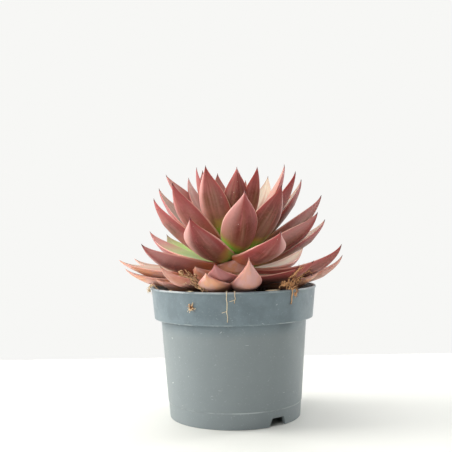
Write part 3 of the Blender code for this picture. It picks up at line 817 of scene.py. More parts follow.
def makeStem():
    look = stemShape
    material, tree, shader = newMaterial("corky stem")
    where = addNode(tree, "ShaderNodeTexCoord")["Object"]
    inputs = {"Vector": where, "Scale": 1 / (look["grain"] * mm), "Detail": 6.0}
    grain = addNode(tree, "ShaderNodeTexNoise", inputs)["Fac"]
    inputs = {0: grain, 6: hexColor(look["cork"]), 7: hexColor(look["flesh"])}
    feed(tree, shader, {
        "Base Color": addNode(tree, "ShaderNodeMix", inputs, data_type="RGBA")[2],
        "Roughness": 0.8,
        "Normal": addNode(tree, "ShaderNodeBump", {"Height": grain, "Distance": 0.4 * mm})[0],
    })
    rings = []
    for row in range(look["rows"]):
        share = row / (look["rows"] - 1)
        z = look["foot"] + (look["top"] - look["foot"]) * share
        radius = look["radius"] + (look["topRadius"] - look["radius"]) * smooth(0.75, 1.0, share)
        ring = []
        for k in range(look["around"]):
            angle = math.tau * k / look["around"]
            scar = math.sin(z * look["scarTurns"] + 3 * math.sin(angle * 2)) * look["scarDepth"]
            rough = noise.noise(Vector((math.cos(angle) * 3, math.sin(angle) * 3, z * 0.5))) * look["rough"]
            r = radius - look["rough"] + scar + rough
            ring.append(Vector((r * math.cos(angle), r * math.sin(angle), z)) * mm)
        rings.append(ring)
    pile = newPile()
    addRings(pile, rings)
    addPiece("stem", pile, material, "leaf", "rosette")
    print("stem ready")


# Pot: a 12 cm nursery pot with a deep collar, moulded in polypropylene
potShape = {
    "steps": 256,
    "height": 93.6,
    "rim": 60.0,
    "lipHeight": 1.6,
    "lipProud": 0.5,
    "collarHeight": 22.7,
    "collarFoot": 57.4,
    "bodyTop": 52.75,
    "foot": 47.2,
    "wall": 1.3,
    "mouldLine": 11.1,
    "mouldStep": 0.35,
    "footRing": 2.4,
    "floorUnder": 6.6,
    "floorTop": 8.1,
    "notchTurns": (37.5, 217.5),
    "notchTop": 10.0,
    "notchBottom": 15.5,
    "notchDepth": 12.0,
    "notchHeight": 6.0,
    "drainCount": 8,
    "drainRadius": 4.0,
    "drainRing": 33.0,
    # where the lip has been pressed in: turn, spread in degrees, depth in mm
    "dents": ((-42.0, 7.0, 0.55), (-24.0, 4.0, 0.3), (63.0, 6.0, 0.35)),
    "sharpAngle": 32,             # degrees
}


def bodyRadius(z):
    share = z / (potShape["height"] - potShape["collarHeight"])
    return potShape["foot"] + (potShape["bodyTop"] - potShape["foot"]) * share


def collarRadius(z):
    share = (z - (potShape["height"] - potShape["collarHeight"])) / potShape["collarHeight"]
    return potShape["collarFoot"] + (potShape["rim"] - potShape["lipProud"] - potShape["collarFoot"]) * share


def potOutline():
    # (radius, height, rounding) from the middle of the floor over the rim and down the outside
    p = potShape
    shoulder = p["height"] - p["collarHeight"]
    lipFoot = p["height"] - p["lipHeight"]
    return [
        (0.0, p["floorTop"], 0.0),
        (bodyRadius(p["floorTop"]) - p["wall"], p["floorTop"], 2.0),
        (bodyRadius(shoulder) - p["wall"], shoulder + p["wall"], 1.0),
        (p["collarFoot"] - p["wall"], shoulder + p["wall"], 1.0),
        (p["rim"] - p["lipProud"] - p["wall"], p["height"], 0.5),
        (p["rim"], p["height"], 0.7),
        (p["rim"], lipFoot, 0.35),
        (collarRadius(lipFoot), lipFoot, 0.25),
        (p["collarFoot"], shoulder, 0.6),
        (p["bodyTop"], shoulder, 0.8),
        (bodyRadius(p["mouldLine"]) + p["mouldStep"], p["mouldLine"] + 0.5, 0.2),
        (bodyRadius(p["mouldLine"]), p["mouldLine"], 0.2),
        (p["foot"], 0.0, 0.5),
        (p["foot"] - p["footRing"], 0.0, 0.3),
        (p["foot"] - p["footRing"], p["floorUnder"], 0.4),
        (0.0, p["floorUnder"], 0.0),
    ]


def roundedOutline(corners, arcPoints=5):
    # replaces each corner by an arc of its rounding
    outline = []
    for i, (r, z, rounding) in enumerate(corners):
        here = Vector((r, z))
        if rounding == 0.0:
            outline.append(here)
            continue
        before = (Vector(corners[i - 1][:2]) - here).normalized()
        after = (Vector(corners[i + 1][:2]) - here).normalized()
        start = here + before * rounding
        end = here + after * rounding
        for k in range(arcPoints):
            t = k / (arcPoints - 1)
            outline.append(start * (1 - t) ** 2 + here * 2 * t * (1 - t) + end * t ** 2)
    return outline


def dentAt(turn, z):
    # how far the lip is pressed in at this turn and height
    near = smooth(potShape["height"] - 9, potShape["height"] - 0.5, z)
    total = 0.0
    for middle, spread, depth in potShape["dents"]:
        away = (turn - middle + 180) % 360 - 180
        total += depth * math.exp(-(away / spread) ** 2)
    return total * near


# Moulded polypropylene with carbon-grey pigment: a satin skin, cloudy from handling, with pale scuffs
# and fine scratches where it has rubbed on others. Painted shade: the collar and the top of the body keep
# a darker grey, as the leaves and the collar shade them, and the body below is painted paler, as lit from
# the floor. The ridges carry painted highlights, patchy like rubbed wear.
polypropylene = {
    "grey": "#6f7e85",
    "dull": "#5f6d74",
    # the body below the collar, painted paler as lit from the floor
    "paleBody": "#80888a",
    # pale scuffs, and the painted highlights on the ridges
    "scuffAndHighlight": "#a9b1b3",
    "scratch": "#bcc4c5",
    "wornAndLitRidges": ((10.9, 11.8), (70.8, 71.6), (92.3, 93.7)),  # mm, ridges painted pale in patches: painted highlights along the mould line, shoulder and lip, with rubbed wear
    "roughness": 0.34,
    "scuffSize": 16.0,            # mm
    "speckSize": 1.2,             # mm
    "patchSize": 5.0,             # mm, the patches that have been scratched
    "scratchSpacing": 7.0,        # mm
    "scratchWidth": 0.1,          # mm, drawn coarser than real
    "collarShade": (71.0, 60.0),      # mm, painted shade: from the collar's foot, where it is darkest, down to where the paler body is full
}


def makePolypropylene():
    look = polypropylene
    material, tree, shader = newMaterial("moulded polypropylene")
    where = addNode(tree, "ShaderNodeTexCoord")["Object"]
    parts = {"height": addNode(tree, "ShaderNodeSeparateXYZ", {0: where})[2]}
    noises = [
        ("clouds", look["scuffSize"], 5.0, 0.6),
        ("fine", look["speckSize"], 3.0, 0.5),
        ("patches", look["patchSize"], 1.0, 0.5),
    ]
    for name, size, detail, rough in noises:
        inputs = {"Vector": where, "Scale": 1 / (size * mm), "Detail": detail, "Roughness": rough}
        parts[name] = addNode(tree, "ShaderNodeTexNoise", inputs)["Fac"]
    # scratches: short and nearly level, as rubbing leaves them; each band of height has its own
    inputs = {"Vector": where, "Rotation": (0.35, -0.2, 0.3), "Scale": (0.25, 0.25, 1.0)}
    level = addNode(tree, "ShaderNodeMapping", inputs)[0]
    inputs = {"Vector": level, "Scale": 1 / (look["scratchSpacing"] * mm)}
    parts["cracks"] = addNode(tree, "ShaderNodeTexVoronoi", inputs, feature="DISTANCE_TO_EDGE")["Distance"]
    widest = look["scratchWidth"] / look["scratchSpacing"]
    top, foot = [z * mm for z in look["collarShade"]]

    # masks: what each is read from, where it starts, where it is full, and how strong it gets
    masks = [
        ("lines", "cracks", widest, widest * 0.3, 1.0, "LINEAR"),
        ("worn", "patches", 0.67, 0.75, 1.0, "SMOOTHSTEP"),
        ("speck", "fine", 0.62, 0.76, 0.35, "LINEAR"),
        # painted shade: the darker grey under the collar fades into the paler body lower down
        ("belowCollarShade", "height", top, foot, 0.85, "SMOOTHSTEP"),
        ("cloudy", "clouds", 0.38, 0.64, 0.8, "SMOOTHSTEP"),
    ]
    for name, source, start, full, most, course in masks:
        inputs = {"Value": parts[source], "From Min": start, "From Max": full, "To Max": most}
        parts[name] = addNode(tree, "ShaderNodeMapRange", inputs, interpolation_type=course)[0]
    inputs = {0: parts["lines"], 1: parts["worn"]}
    scratched = addNode(tree, "ShaderNodeMath", inputs, operation="MULTIPLY")[0]
    layers = [(parts["cloudy"], "dull"), (parts["belowCollarShade"], "paleBody"), (parts["speck"], "scuffAndHighlight")]
    layers.append((scratched, "scratch"))
    # painted highlights along the ridges, broken into patches like rubbed wear
    for low, high in look["wornAndLitRidges"]:
        inputs = {0: parts["height"], 1: (low + high) / 2 * mm, 2: (high - low) / 2 * mm}
        ridge = addNode(tree, "ShaderNodeMath", inputs, operation="COMPARE")[0]
        inputs = {0: ridge, 1: parts["cloudy"]}
        layers.append((addNode(tree, "ShaderNodeMath", inputs, operation="MULTIPLY")[0], "scuffAndHighlight"))
    color = hexColor(look["grey"])
    for mask, name in layers:
        inputs = {0: mask, 6: color, 7: hexColor(look[name])}
        color = addNode(tree, "ShaderNodeMix", inputs, data_type="RGBA")[2]
    satin = addNode(tree, "ShaderNodeMapRange", {
        "Value": parts["clouds"], "From Min": 0.3, "From Max": 0.7,
        "To Min": look["roughness"] - 0.06, "To Max": look["roughness"] + 0.06,
    })[0]
    # nesting has also rubbed the body below the collar duller than the collar
    inputs = {0: parts["belowCollarShade"], 1: 0.12, 2: satin}
    duller = addNode(tree, "ShaderNodeMath", inputs, operation="MULTIPLY_ADD")[0]
    inputs = {"Height": parts["fine"], "Strength": 0.15, "Distance": 0.1 * mm}
    bump = addNode(tree, "ShaderNodeBump", inputs)[0]
    feed(tree, shader, {"Base Color": color, "Roughness": duller, "IOR": 1.49, "Normal": bump})
    return material


def makePot():
    p = potShape
    turns = [360 * k / p["steps"] for k in range(p["steps"])]
    rings = []
    for r, z in roundedOutline(potOutline())[1:-1]:
        rings.append([atPot(turn, r - dentAt(turn, z), z) for turn in turns])
    pile = newPile()
    addRings(pile, rings)
    pot = addPiece("nurseryPot", pile, makePolypropylene(), "pot_plastic", "pot")
    bm = bmesh.new()
    bm.from_mesh(pot.data)
    bmesh.ops.recalc_face_normals(bm, faces=bm.faces[:])
    bm.to_mesh(pot.data)
    bm.free()

    # notches in the foot ring and drain holes, cut in one go
    shapes = []
    for turn in p["notchTurns"]:
        bm = bmesh.new()
        bmesh.ops.create_cube(bm, size=1.0)
        for vert in bm.verts:
            width = p["notchTop"] if vert.co.z > 0 else p["notchBottom"]
            up = p["notchHeight"] if vert.co.z > 0 else -1.0
            vert.co = Vector((vert.co.x * width, vert.co.y * p["notchDepth"], up)) * mm
        spin = Matrix.Rotation(math.radians(turn), 4, "Z")
        place = Matrix.Translation(atPot(turn, p["foot"], 0)) @ spin
        bmesh.ops.transform(bm, matrix=place, verts=bm.verts)
        shapes.append(("notch", bm))
    radius = p["drainRadius"] * mm
    level = (p["floorUnder"] + p["floorTop"]) / 2
    for k in range(p["drainCount"]):
        bm = bmesh.new()
        place = Matrix.Translation(atPot((k + 0.5) * 360 / p["drainCount"], p["drainRing"], level))
        bmesh.ops.create_cone(bm, cap_ends=True, segments=40, radius1=radius, radius2=radius,
                              depth=6 * mm, matrix=place)
        shapes.append(("drain", bm))
    cutters = bpy.data.collections.new("cutters")
    bpy.context.scene.collection.children.link(cutters)
    for name, bm in shapes:
        cutter = bpy.data.objects.new(name, bpy.data.meshes.new(name))
        bm.to_mesh(cutter.data)
        bm.free()
        cutters.objects.link(cutter)
    cut = pot.modifiers.new("Cut", "BOOLEAN")
    cut.operation = "DIFFERENCE"
    cut.operand_type = "COLLECTION"
    cut.collection = cutters
    cut.solver = "EXACT"
    depsgraph = bpy.context.evaluated_depsgraph_get()
    mesh = bpy.data.meshes.new_from_object(pot.evaluated_get(depsgraph), depsgraph=depsgraph)
    pot.modifiers.clear()
    pot.data = mesh
    for cutter in list(cutters.objects):
        bpy.data.objects.remove(cutter, do_unlink=True)
    bpy.data.collections.remove(cutters)
    mesh.shade_smooth()
    mesh.set_sharp_from_angle(angle=math.radians(p["sharpAngle"]))
    print("pot ready")


# Peat: a near-black fibrous mix, rough enough that it has no gloss, with crumbs and paler fibres
peatShape = {
    "top": 87.0,
    "dome": 1.6,
    "bump": 0.7,
    "flare": 0.09,                # how much the wall beside it widens with its height
    "stemHole": 7.9,
    "holeFoot": 72.0,
    "rows": 70,
    "floorRows": 9,
    "around": 220,
    "seed": 11,
    "crumbs": 900,
    "crumbSize": (0.35, 1.5),
    "paleCrumbs": 0.05,           # share of the crumbs
    "fibres": 60,
    "fibreThick": 0.14,
    "fibreLength": (2, 6),
    "fibreSteps": 7,
    "grain": 1.5,
    "dark": "#2b1d14",
    "brown": "#4a3323",
    "straw": "#9a7a45",
}


def peatHeight(x, y):
    # in millimetres, as the solid has it
    reach = min(math.hypot(x, y) / potShape["collarFoot"], 1.0)
    bumps = math.sin(0.31 * x + 1.0) * math.cos(0.27 * y) + 0.6 * math.sin(0.19 * x - 0.42 * y + 2.0)
    return peatShape["top"] + peatShape["dome"] * (1 - reach ** 2) + peatShape["bump"] * bumps


def makePeatMaterial():
    look = peatShape
    material, tree, shader = newMaterial("moss peat")
    kind = addNode(tree, "ShaderNodeAttribute", attribute_name="look")["Vector"]
    pale = addNode(tree, "ShaderNodeSeparateXYZ", {0: kind})[1]
    where = addNode(tree, "ShaderNodeTexCoord")["Object"]
    inputs = {"Vector": where, "Scale": 1 / (look["grain"] * mm), "Detail": 6.0, "Roughness": 0.7}
    grain = addNode(tree, "ShaderNodeTexNoise", inputs)["Fac"]
    color = hexColor(look["dark"])
    for mask, name in ((grain, "brown"), (pale, "straw")):
        inputs = {0: mask, 6: color, 7: hexColor(look[name])}
        color = addNode(tree, "ShaderNodeMix", inputs, data_type="RGBA")[2]
    bump = addNode(tree, "ShaderNodeBump", {"Height": grain, "Distance": 0.6 * mm})[0]
    feed(tree, shader, {"Base Color": color, "Roughness": 0.95, "Normal": bump})
    return material


def makePeat():
    p = potShape
    look = peatShape
    shoulder = p["height"] - p["collarHeight"] + p["wall"]
    wallFoot = p["collarFoot"] - p["wall"]
    wallTop = wallFoot + (look["top"] - shoulder) * look["flare"]
    bodyTop = bodyRadius(shoulder) - p["wall"]
    floor = bodyRadius(p["floorTop"]) - p["wall"]
    ways = [heading(-360 * k / look["around"]) for k in range(look["around"])]
    # up the stem's hole and out over the surface
    rings = [[(way * look["stemHole"] + Vector((0, 0, look["holeFoot"]))) * mm for way in ways]]
    for row in range(look["rows"]):
        r = look["stemHole"] + (wallTop - 0.2 - look["stemHole"]) * row / (look["rows"] - 1)
        ring = []
        for way in ways:
            x = way.x * r
            y = way.y * r
            rough = noise.fractal(Vector((x, y, 3.0)) * 0.35, 0.9, 2.0, 4) * 0.9
            ring.append(Vector((x, y, peatHeight(x, y) - 0.5 + rough)) * mm)
        rings.append(ring)
    # down the inside of the pot, and in towards the middle of its floor
    down = [
        (wallTop - 0.3, 82.0),
        (wallFoot - 0.3, shoulder + 1.2),
        (wallFoot - 1.2, shoulder + 0.3),
        (bodyTop + 0.8, shoulder + 0.3),
        (bodyTop - 0.4, shoulder - 1.2),
        (floor - 0.3, p["floorTop"] + 2.2),
        (floor - 2.2, p["floorTop"] + 0.3),
    ]
    for row in range(1, look["floorRows"]):
        down.append(((floor - 2.2) * (1 - row / look["floorRows"]), p["floorTop"] + 0.4))
    for r, z in down:
        rings.append([(way * r + Vector((0, 0, z))) * mm for way in ways])
    pile = newPile()
    addRings(pile, rings, look=(0, 0, 0))

    draw = random.Random(look["seed"])
    for _ in range(look["crumbs"]):
        r = math.sqrt(draw.uniform(0.03, 1.0)) * (wallTop - 2.0)
        spot = heading(draw.uniform(0, 360)) * r
        size = draw.uniform(*look["crumbSize"]) * draw.uniform(0.4, 1.0)
        z = peatHeight(spot.x, spot.y) + size * 0.1
        pale = 0.8 if draw.random() < look["paleCrumbs"] else draw.uniform(0, 0.15)
        addLump(pile, Vector((spot.x, spot.y, z)) * mm, size * mm, draw, (0, pale, 0))
    for _ in range(look["fibres"]):
        r = math.sqrt(draw.uniform(0.1, 1.0)) * (wallTop - 3.0)
        spot = heading(draw.uniform(0, 360)) * r
        aim = heading(draw.uniform(0, 360)) * draw.uniform(*look["fibreLength"])
        route = []
        for k in range(look["fibreSteps"]):
            share = k / (look["fibreSteps"] - 1)
            at = spot + aim * (share - 0.5)
            lift = 0.8 + 0.8 * math.sin(math.pi * share) + draw.uniform(-0.2, 0.2)
            if math.hypot(at.x, at.y) > wallTop - 1:
                at = at.normalized() * (wallTop - 1)
            route.append(Vector((at.x, at.y, peatHeight(at.x, at.y) + lift)) * mm)
        addTube(pile, route, [look["fibreThick"] * mm] * len(route), 5, (0, draw.uniform(0.4, 1.0), 0))
    addPiece("peatBall", pile, makePeatMaterial(), "peat", "peat")
    print("peat ready")


# Dry roots: thin, curly and brittle, golden where the bark has rubbed off, with peat caught in them
rootLooks = {
    "straw": "#e3ac78",
    "brown": "#7a4622",
    "dark": "#33190c",
    "pale": "#ecd9b0",
    "bleached": "#e3d8bd",
    "grain": 1.0,
}

# Main roots as points in mm; each has thinner ones beside it that stray from it by so many mm.
# A curl is a knot of roots: its middle, its reach and how many; a skin is a scrap between four corners.
sprays = {
    "dryRootsLeft": {
        "node": "dry_roots_left", "seed": 4,
        "beside": 5, "stray": 1.6, "thick": 0.34, "crumbs": 5, "pale": 0.35,
        "main": [
            [(-18.5, -51.5, 91), (-19.8, -53, 95.2), (-23.2, -51, 97.6), (-26.1, -51, 100.7),
             (-28.4, -50, 103.3), (-30.1, -50, 105.7), (-32, -49.5, 108)],
            [(-17, -50.5, 91), (-18.2, -52, 95.1), (-21.9, -50, 98.1), (-24.8, -49, 101.5),
             (-27.8, -48, 104.2), (-29.8, -48, 106.9)],
            [(-20, -52, 91), (-21.4, -53, 95.2), (-24.5, -51, 97.3), (-27.1, -52, 100.1), (-29, -52, 102.5)],
            [(-26.1, -51, 100.7), (-29, -51.5, 103), (-33.1, -53, 104.7), (-35.6, -54.8, 104.4)],
        ],
        "curls": [((-34.6, -54, 106.2), 2.0, 14), ((-25.5, -49, 103.2), 1.3, 3)],
        "specks": [
            (-32.0, -49.8, 99.5), (-29.4, -47.6, 98.6), (-27.7, -45.6, 97.7), (-33.0, -48.5, 98.3),
            (-25.4, -42.1, 104.5), (-24.9, -41.7, 103.9), (-25.9, -42.4, 105.0), (-24.1, -40.7, 102.7),
            (-26.3, -42.5, 104.2),
        ],
        "skins": [],
    },
    "dryRootsRight": {
        "node": "dry_roots_right", "seed": 6,
        "beside": 4, "stray": 2.5, "thick": 0.38, "crumbs": 30, "pale": 0.0,
        "main": [
            [(36.5, -43.5, 91), (38, -45.2, 94.8), (38.8, -46.2, 96), (39.3, -45.8, 99.3),
             (40.8, -45.5, 102.6), (42.9, -46.2, 105.6), (45.3, -47.8, 108), (46.4, -47.6, 109)],
            [(36, -42, 91), (39.1, -45, 96.6), (42.1, -42, 100), (45.2, -38, 101.4), (48.3, -35, 102.8),
             (51, -32, 104.3), (52.9, -30, 104.5), (55.1, -29, 102.7)],
            [(37, -43, 91.5), (38.7, -46, 96.7), (36.3, -47, 98.1), (33.7, -49, 96.6), (31.3, -50, 96.4),
             (29.9, -51, 94.9)],
            [(37.5, -42, 91), (39.7, -45, 94.5), (42, -42, 96.3), (43.7, -39, 98.7), (45, -37, 100.6),
             (47.7, -34, 102.1)],
            [(35, -44, 91.5), (36.3, -47, 98.8), (38.2, -48, 102.2), (40.9, -48.5, 104.5),
             (42.8, -49.5, 106.8), (44.8, -50, 109.5)],
            [(35.5, -44.5, 91.5), (37.5, -47, 95.4), (35.1, -48.5, 97.2), (32.7, -50, 98.4),
             (31.7, -50, 99.4)],
            [(38.5, -43, 92), (41, -45.4, 94.6), (42.2, -46, 93.6), (41.8, -45.8, 90.6), (41.2, -45.2, 88.6)],
        ],
        "curls": [((38.8, -47, 97.8), 2.2, 5), ((33.2, -49.6, 97.2), 1.8, 5), ((43.6, -41.5, 99.4), 2.0, 4)],
        "specks": [],
        "skins": [[(40.4, -46.2, 91.4), (42.3, -44.6, 91.8), (42.1, -44.6, 89.6), (40.6, -46, 89.3)]],
    },
    "rimFibres": {
        "node": "rim_fibres", "seed": 3,
        "beside": 4, "stray": 1.2, "thick": 0.3, "crumbs": 8, "pale": 0.8,
        "main": [
            [(-54, -10.5, 92), (-57.5, -10.5, 94.9), (-59.6, -10.6, 94.8), (-60.9, -10.8, 92),
             (-60.5, -11, 89.4)],
            [(-53.5, -12.5, 92), (-56.6, -13.2, 95), (-58.8, -13.6, 94.8), (-59.9, -13.7, 92.4),
             (-59.5, -13.4, 90.4)],
            [(-54.5, -8, 92), (-57.8, -8.4, 95.4), (-60, -8, 95.2), (-61.2, -8.4, 93.2)],
        ],
        "curls": [((-60.6, -11, 91.6), 1.4, 5)],
        "specks": [],
        "skins": [],
    },
}
# stray: of the first strand, in mm; thinner: the others' share of its thickness; bend and kink: how
# often a strand wanders, and kinkSize: how far, in mm
strandShape = {
    "stray": 0.3, "thinner": (0.35, 0.8), "taper": 0.55,
    "bend": 0.14, "kink": 0.55, "kinkSize": 0.5, "golden": (0.0, 0.5, 0.8, 1.0), "peaty": (0.2, 0.8),
}
curlShape = {
    "steps": 22, "turn": 0.3, "rise": 0.05, "shrink": 0.015,
    "thick": (0.13, 0.22), "size": (0.35, 0.9), "spread": 0.35, "golden": (0.1, 0.8, 1.0),
}
crumbShape = {"spread": 1.2, "size": (0.35, 0.9), "perSpeck": 3, "speckSpread": 0.5, "speckSize": (0.25, 0.5)}
skinShape = {"steps": 10, "thick": 0.2, "crumple": 0.9, "ragged": 0.5}

# Threads that hang over the rim: turn in degrees, how far down they reach, where a side root leaves
threads = {
    "rootThreadLong": {
        "node": "root_thread_long", "seed": 21,
        "turn": -4.7, "foot": 20.0, "side": 12.5, "thick": 0.36, "look": (0.9, 0.2, 0),
    },
    "rootThreadShort": {
        "node": "root_thread_short", "seed": 22,
        "turn": 0.4, "foot": 7.5, "side": 5.0, "thick": 0.34, "look": (0.6, 0.2, 0),
    },
    "rootThreadRight": {
        "node": "root_thread_right", "seed": 23,
        "turn": 40.5, "foot": 10.0, "side": None, "thick": 0.6, "look": (0.1, 0, 0.15),
    },
}
threadProud = 0.45                # how far a thread's middle stays off the pot, in mm
threadBend = 2.6                  # how far below the rim it starts to follow the collar
threadStep = 2.5                  # between its bends


def makeRootMaterial(name, low, high, roughness):
    # dried cellulose: dull, streaked along its length, a little darker at some strands
    material, tree, shader = newMaterial(name)
    kind = addNode(tree, "ShaderNodeAttribute", attribute_name="look")["Vector"]
    chance, bleached, peaty = addNode(tree, "ShaderNodeSeparateXYZ", {0: kind})
    where = addNode(tree, "ShaderNodeTexCoord")["Object"]
    inputs = {"Vector": where, "Scale": 1 / (rootLooks["grain"] * mm), "Detail": 4.0}
    grain = addNode(tree, "ShaderNodeTexNoise", inputs)["Fac"]
    inputs = {"Value": grain, "From Min": 0.5, "From Max": 0.72, "To Max": 0.4}
    worn = addNode(tree, "ShaderNodeMapRange", inputs)[0]
    color = hexColor(rootLooks[low])
    for mask, tint in ((chance, high), (bleached, "pale"), (worn, "brown"), (peaty, "dark")):
        inputs = {0: mask, 6: color, 7: hexColor(rootLooks[tint])}
        color = addNode(tree, "ShaderNodeMix", inputs, data_type="RGBA")[2]
    bump = addNode(tree, "ShaderNodeBump", {"Height": grain, "Strength": 0.5, "Distance": 0.15 * mm})[0]
    feed(tree, shader, {"Base Color": color, "Roughness": roughness, "Normal": bump})
    return material


def addSkin(pile, corners, draw, look):
    # a crumpled scrap of dry skin between four corners
    a, b, c, d = [Vector(corner) for corner in corners]
    lift = (b - a).cross(d - a).normalized()
    shift = draw.uniform(0, 40)
    steps = skinShape["steps"]
    rings = []
    for row in range(steps):
        v = row / (steps - 1)
        line = []
        for step in range(steps):
            u = step / (steps - 1)
            at = a * (1 - u) * (1 - v) + b * u * (1 - v) + c * u * v + d * (1 - u) * v
            crumple = noise.noise(Vector((u * 4, v * 4, shift))) * skinShape["crumple"]
            ragged = skinShape["ragged"] * noise.noise(Vector((u * 9, v * 9, shift + 7)))
            line.append(at + lift * crumple + (b - a).normalized() * ragged)
        under = [point - lift * skinShape["thick"] for point in reversed(line)]
        rings.append([point * mm for point in line + under])
    addRings(pile, rings, look=look)


def addStrand(pile, spray, path, order, shift, draw):
    # the first strand follows the path itself, lit and golden; the others stray, most of them darker
    start = 0 if order < 2 else draw.randrange(0, len(path) // 2)
    end = len(path) if order < 2 else draw.randrange(start + len(path) // 3, len(path) + 1)
    stray = strandShape["stray"] if order == 0 else spray["stray"]
    thick = spray["thick"] * (1.0 if order == 0 else draw.uniform(*strandShape["thinner"]))
    aim = scatter(draw, 1) * stray
    route = []
    for i in range(start, end):
        share = (i - start) / len(path)
        bend = noise.noise_vector(Vector((i * strandShape["bend"], order * 3.1, shift))) * stray
        kink = noise.noise_vector(Vector((i * strandShape["kink"], order * 5.3, shift)))
        away = aim * share + kink * strandShape["kinkSize"] + bend * min(1.0, 0.3 + 2 * share)
        route.append(path[i] + away * mm)
    golden = 1.0 if order == 0 else draw.choice(strandShape["golden"])
    bleached = spray["pale"] if golden > 0.4 else 0.0
    peaty = 0.0 if golden > 0.4 else draw.uniform(*strandShape["peaty"])
    radii = tapered(thick, strandShape["taper"], len(route))
    addTube(pile, route, radii, 6, (golden, bleached, peaty))


def addCurl(pile, spray, middle, reach, draw):
    # one of the thin roots that wind round one another in a knot
    axis = scatter(draw, 1).normalized()
    one = axis.orthogonal().normalized()
    two = axis.cross(one)
    radius = reach * draw.uniform(*curlShape["size"])
    centre = Vector(middle) + scatter(draw, curlShape["spread"]) * reach
    begin = draw.uniform(0, math.tau)
    steps = curlShape["steps"]
    route = []
    for i in range(steps):
        angle = begin + i * curlShape["turn"]
        rise = axis * (i - steps // 2) * curlShape["rise"]
        wind = one * math.cos(angle) + two * math.sin(angle) + rise
        route.append((centre + wind * radius * (1 - curlShape["shrink"] * i)) * mm)
    golden = draw.choice(curlShape["golden"])
    bleached = spray["pale"] if golden > 0.4 else 0.0
    addTube(pile, route, [draw.uniform(*curlShape["thick"]) * mm] * steps, 5, (golden, bleached, 0))


def makeRoots():
    bark = makeRootMaterial("dry root bark", "brown", "straw", 0.8)
    pale = makeRootMaterial("bleached root", "straw", "bleached", 0.75)
    for name, spray in sprays.items():
        draw = random.Random(spray["seed"])
        pile = newPile()
        for main in spray["main"]:
            path = smoothRoute([Vector(point) * mm for point in main], 8)
            shift = draw.uniform(0, 90)
            for order in range(spray["beside"] + 1):
                addStrand(pile, spray, path, order, shift, draw)
        for middle, reach, count in spray["curls"]:
            for _ in range(count):
                addCurl(pile, spray, middle, reach, draw)
        for speck in spray["specks"]:
            for _ in range(crumbShape["perSpeck"]):
                at = Vector(speck) + scatter(draw, crumbShape["speckSpread"])
                addLump(pile, at * mm, draw.uniform(*crumbShape["speckSize"]) * mm, draw, (1.0, 1.0, 0))
        for _ in range(spray["crumbs"]):
            main = draw.choice(spray["main"])
            at = Vector(draw.choice(main[:-1])) + scatter(draw, crumbShape["spread"])
            size = draw.uniform(*crumbShape["size"])
            addLump(pile, at * mm, size * mm, draw, (draw.uniform(0, 0.6), 0, draw.uniform(0.4, 1.0)))
        for skin in spray["skins"]:
            addSkin(pile, skin, draw, (0.8, spray["pale"] * 2, 0))
        addPiece(name, pile, bark, "dry_root", spray["node"])

    top = potShape["height"]
    rim = potShape["rim"]
    inner = rim - potShape["lipProud"] - potShape["wall"]
    for name, thread in threads.items():
        draw = random.Random(thread["seed"])
        turn = thread["turn"]
        # out of the peat, over the rim, and down the collar
        over = [
            (inner - 4, peatShape["top"] + 3.5),
            (inner - 1.1, top - 2),
            (inner - 0.5, top + threadProud / 2),
            (inner + 0.6, top + threadProud + 0.2),
            (rim - 0.3, top + threadProud + 0.1),
            (rim + threadProud, top - 0.6),
            (rim + threadProud, top - threadBend),
        ]
        points = [atPot(turn, out, z) for out, z in over]
        foot = top - thread["foot"]
        steps = max(2, round(thread["foot"] / threadStep))
        for k in range(1, steps + 1):
            z = top - threadBend + (foot - top + threadBend) * k / steps
            points.append(atPot(turn + draw.uniform(-0.35, 0.35), collarRadius(z) + threadProud, z))
        route = smoothRoute(points, 4)
        pile = newPile()
        addTube(pile, route, tapered(thread["thick"], 0.45, len(route)), 8, thread["look"])
        addLump(pile, route[-2], thread["thick"] * 1.3 * mm, draw, (0.1, 0, 0.6))
        if thread["side"]:
            side = []
            for k, aside in enumerate((0.1, -0.8, -1.6, -2.6, -3.4)):
                low = top - thread["side"] - k * 0.3
                side.append(atPot(turn + aside, collarRadius(low) + threadProud, low))
            route = smoothRoute(side, 3)
            addTube(pile, route, [0.18 * mm] * len(route), 6, (0.9, 0.2, 0))
        addPiece(name, pile, pale, "pale_root", thread["node"])
    makeHusk(bark)
    makeSlivers(pale)
    print("roots ready")


huskShape = {
    "seed": 5, "turn": -29.1, "height": 83.0,
    "proud": 0.7, "core": 0.9, "reach": 4.2, "arms": 16, "lumps": 16,
}


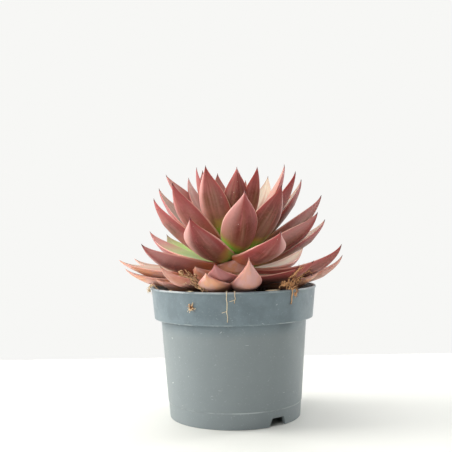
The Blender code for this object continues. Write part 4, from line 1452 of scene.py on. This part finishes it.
def makeHusk(material):
    # a torn scrap of husk: flakes, crumbs and bristles, stuck to the collar
    draw = random.Random(huskShape["seed"])
    out = heading(huskShape["turn"])
    up = Vector((0, 0, 1))
    across = out.cross(up)
    height = huskShape["height"]
    middle = atPot(huskShape["turn"], collarRadius(height) + huskShape["proud"], height)
    pile = newPile()
    addLump(pile, middle, huskShape["core"] * mm, draw, (0.2, 0, 0.6), 2)
    for _ in range(huskShape["lumps"]):
        near = across * draw.uniform(-1.5, 1.5) + up * draw.uniform(-2.0, 2.2) + out * draw.uniform(-0.2, 0.6)
        golden = draw.random() < 0.6
        look = (1.0, draw.uniform(0.3, 1.0), 0) if golden else (0.3, 0, draw.uniform(0, 0.8))
        addLump(pile, middle + near * mm, draw.uniform(0.3, 0.6) * mm, draw, look)
    for arm in range(huskShape["arms"]):
        angle = math.tau * (arm + draw.random()) / huskShape["arms"]
        aim = across * math.cos(angle) + up * math.sin(angle)
        bent = across * draw.uniform(-0.6, 0.6) + up * draw.uniform(-0.6, 0.6)
        reach = huskShape["reach"] * draw.uniform(0.45, 1.0)
        points = [middle, middle + (aim * reach * 0.5 + bent) * mm, middle + (aim * reach + out * 0.15) * mm]
        route = smoothRoute(points, 5)
        radii = tapered(draw.uniform(0.16, 0.3), 0.6, len(route))
        golden = draw.choice((0.3, 1.0, 1.0))
        addTube(pile, route, radii, 6, (golden, draw.uniform(0.2, 0.9) if golden > 0.5 else 0, 0))
    addPiece("huskStar", pile, material, "dry_root", "husk")


# shreds of straw that lie on the pot's rim: turns in degrees, and half width in mm
slivers = [
    {"from": 20.5, "to": 31.0, "thick": 0.38, "look": (0.7, 0.3, 0)},
    {"from": 23.0, "to": 27.5, "thick": 0.3, "look": (0.9, 0.7, 0)},
    {"from": -32.0, "to": -27.0, "thick": 0.34, "look": (0.9, 0.9, 0)},
    {"from": -48.0, "to": -45.0, "thick": 0.3, "look": (0.6, 0.4, 0)},
]


def makeSlivers(material):
    pile = newPile()
    for order, sliver in enumerate(slivers):
        points = []
        for k in range(6):
            turn = sliver["from"] + (sliver["to"] - sliver["from"]) * k / 5
            out = potShape["rim"] - 0.9 + 0.4 * math.sin(k * 1.9 + order)
            points.append(atPot(turn, out, potShape["height"] + sliver["thick"] * 0.9))
        route = smoothRoute(points, 4)
        shares = [i / (len(route) - 1) for i in range(len(route))]
        radii = [sliver["thick"] * mm * max(0.25, math.sin(math.pi * share)) for share in shares]
        addTube(pile, route, radii, 6, sliver["look"])
    addPiece("strawSlivers", pile, material, "pale_root")


makeStudio()
makeRosette()
makeStem()
makePot()
makePeat()
makeRoots()
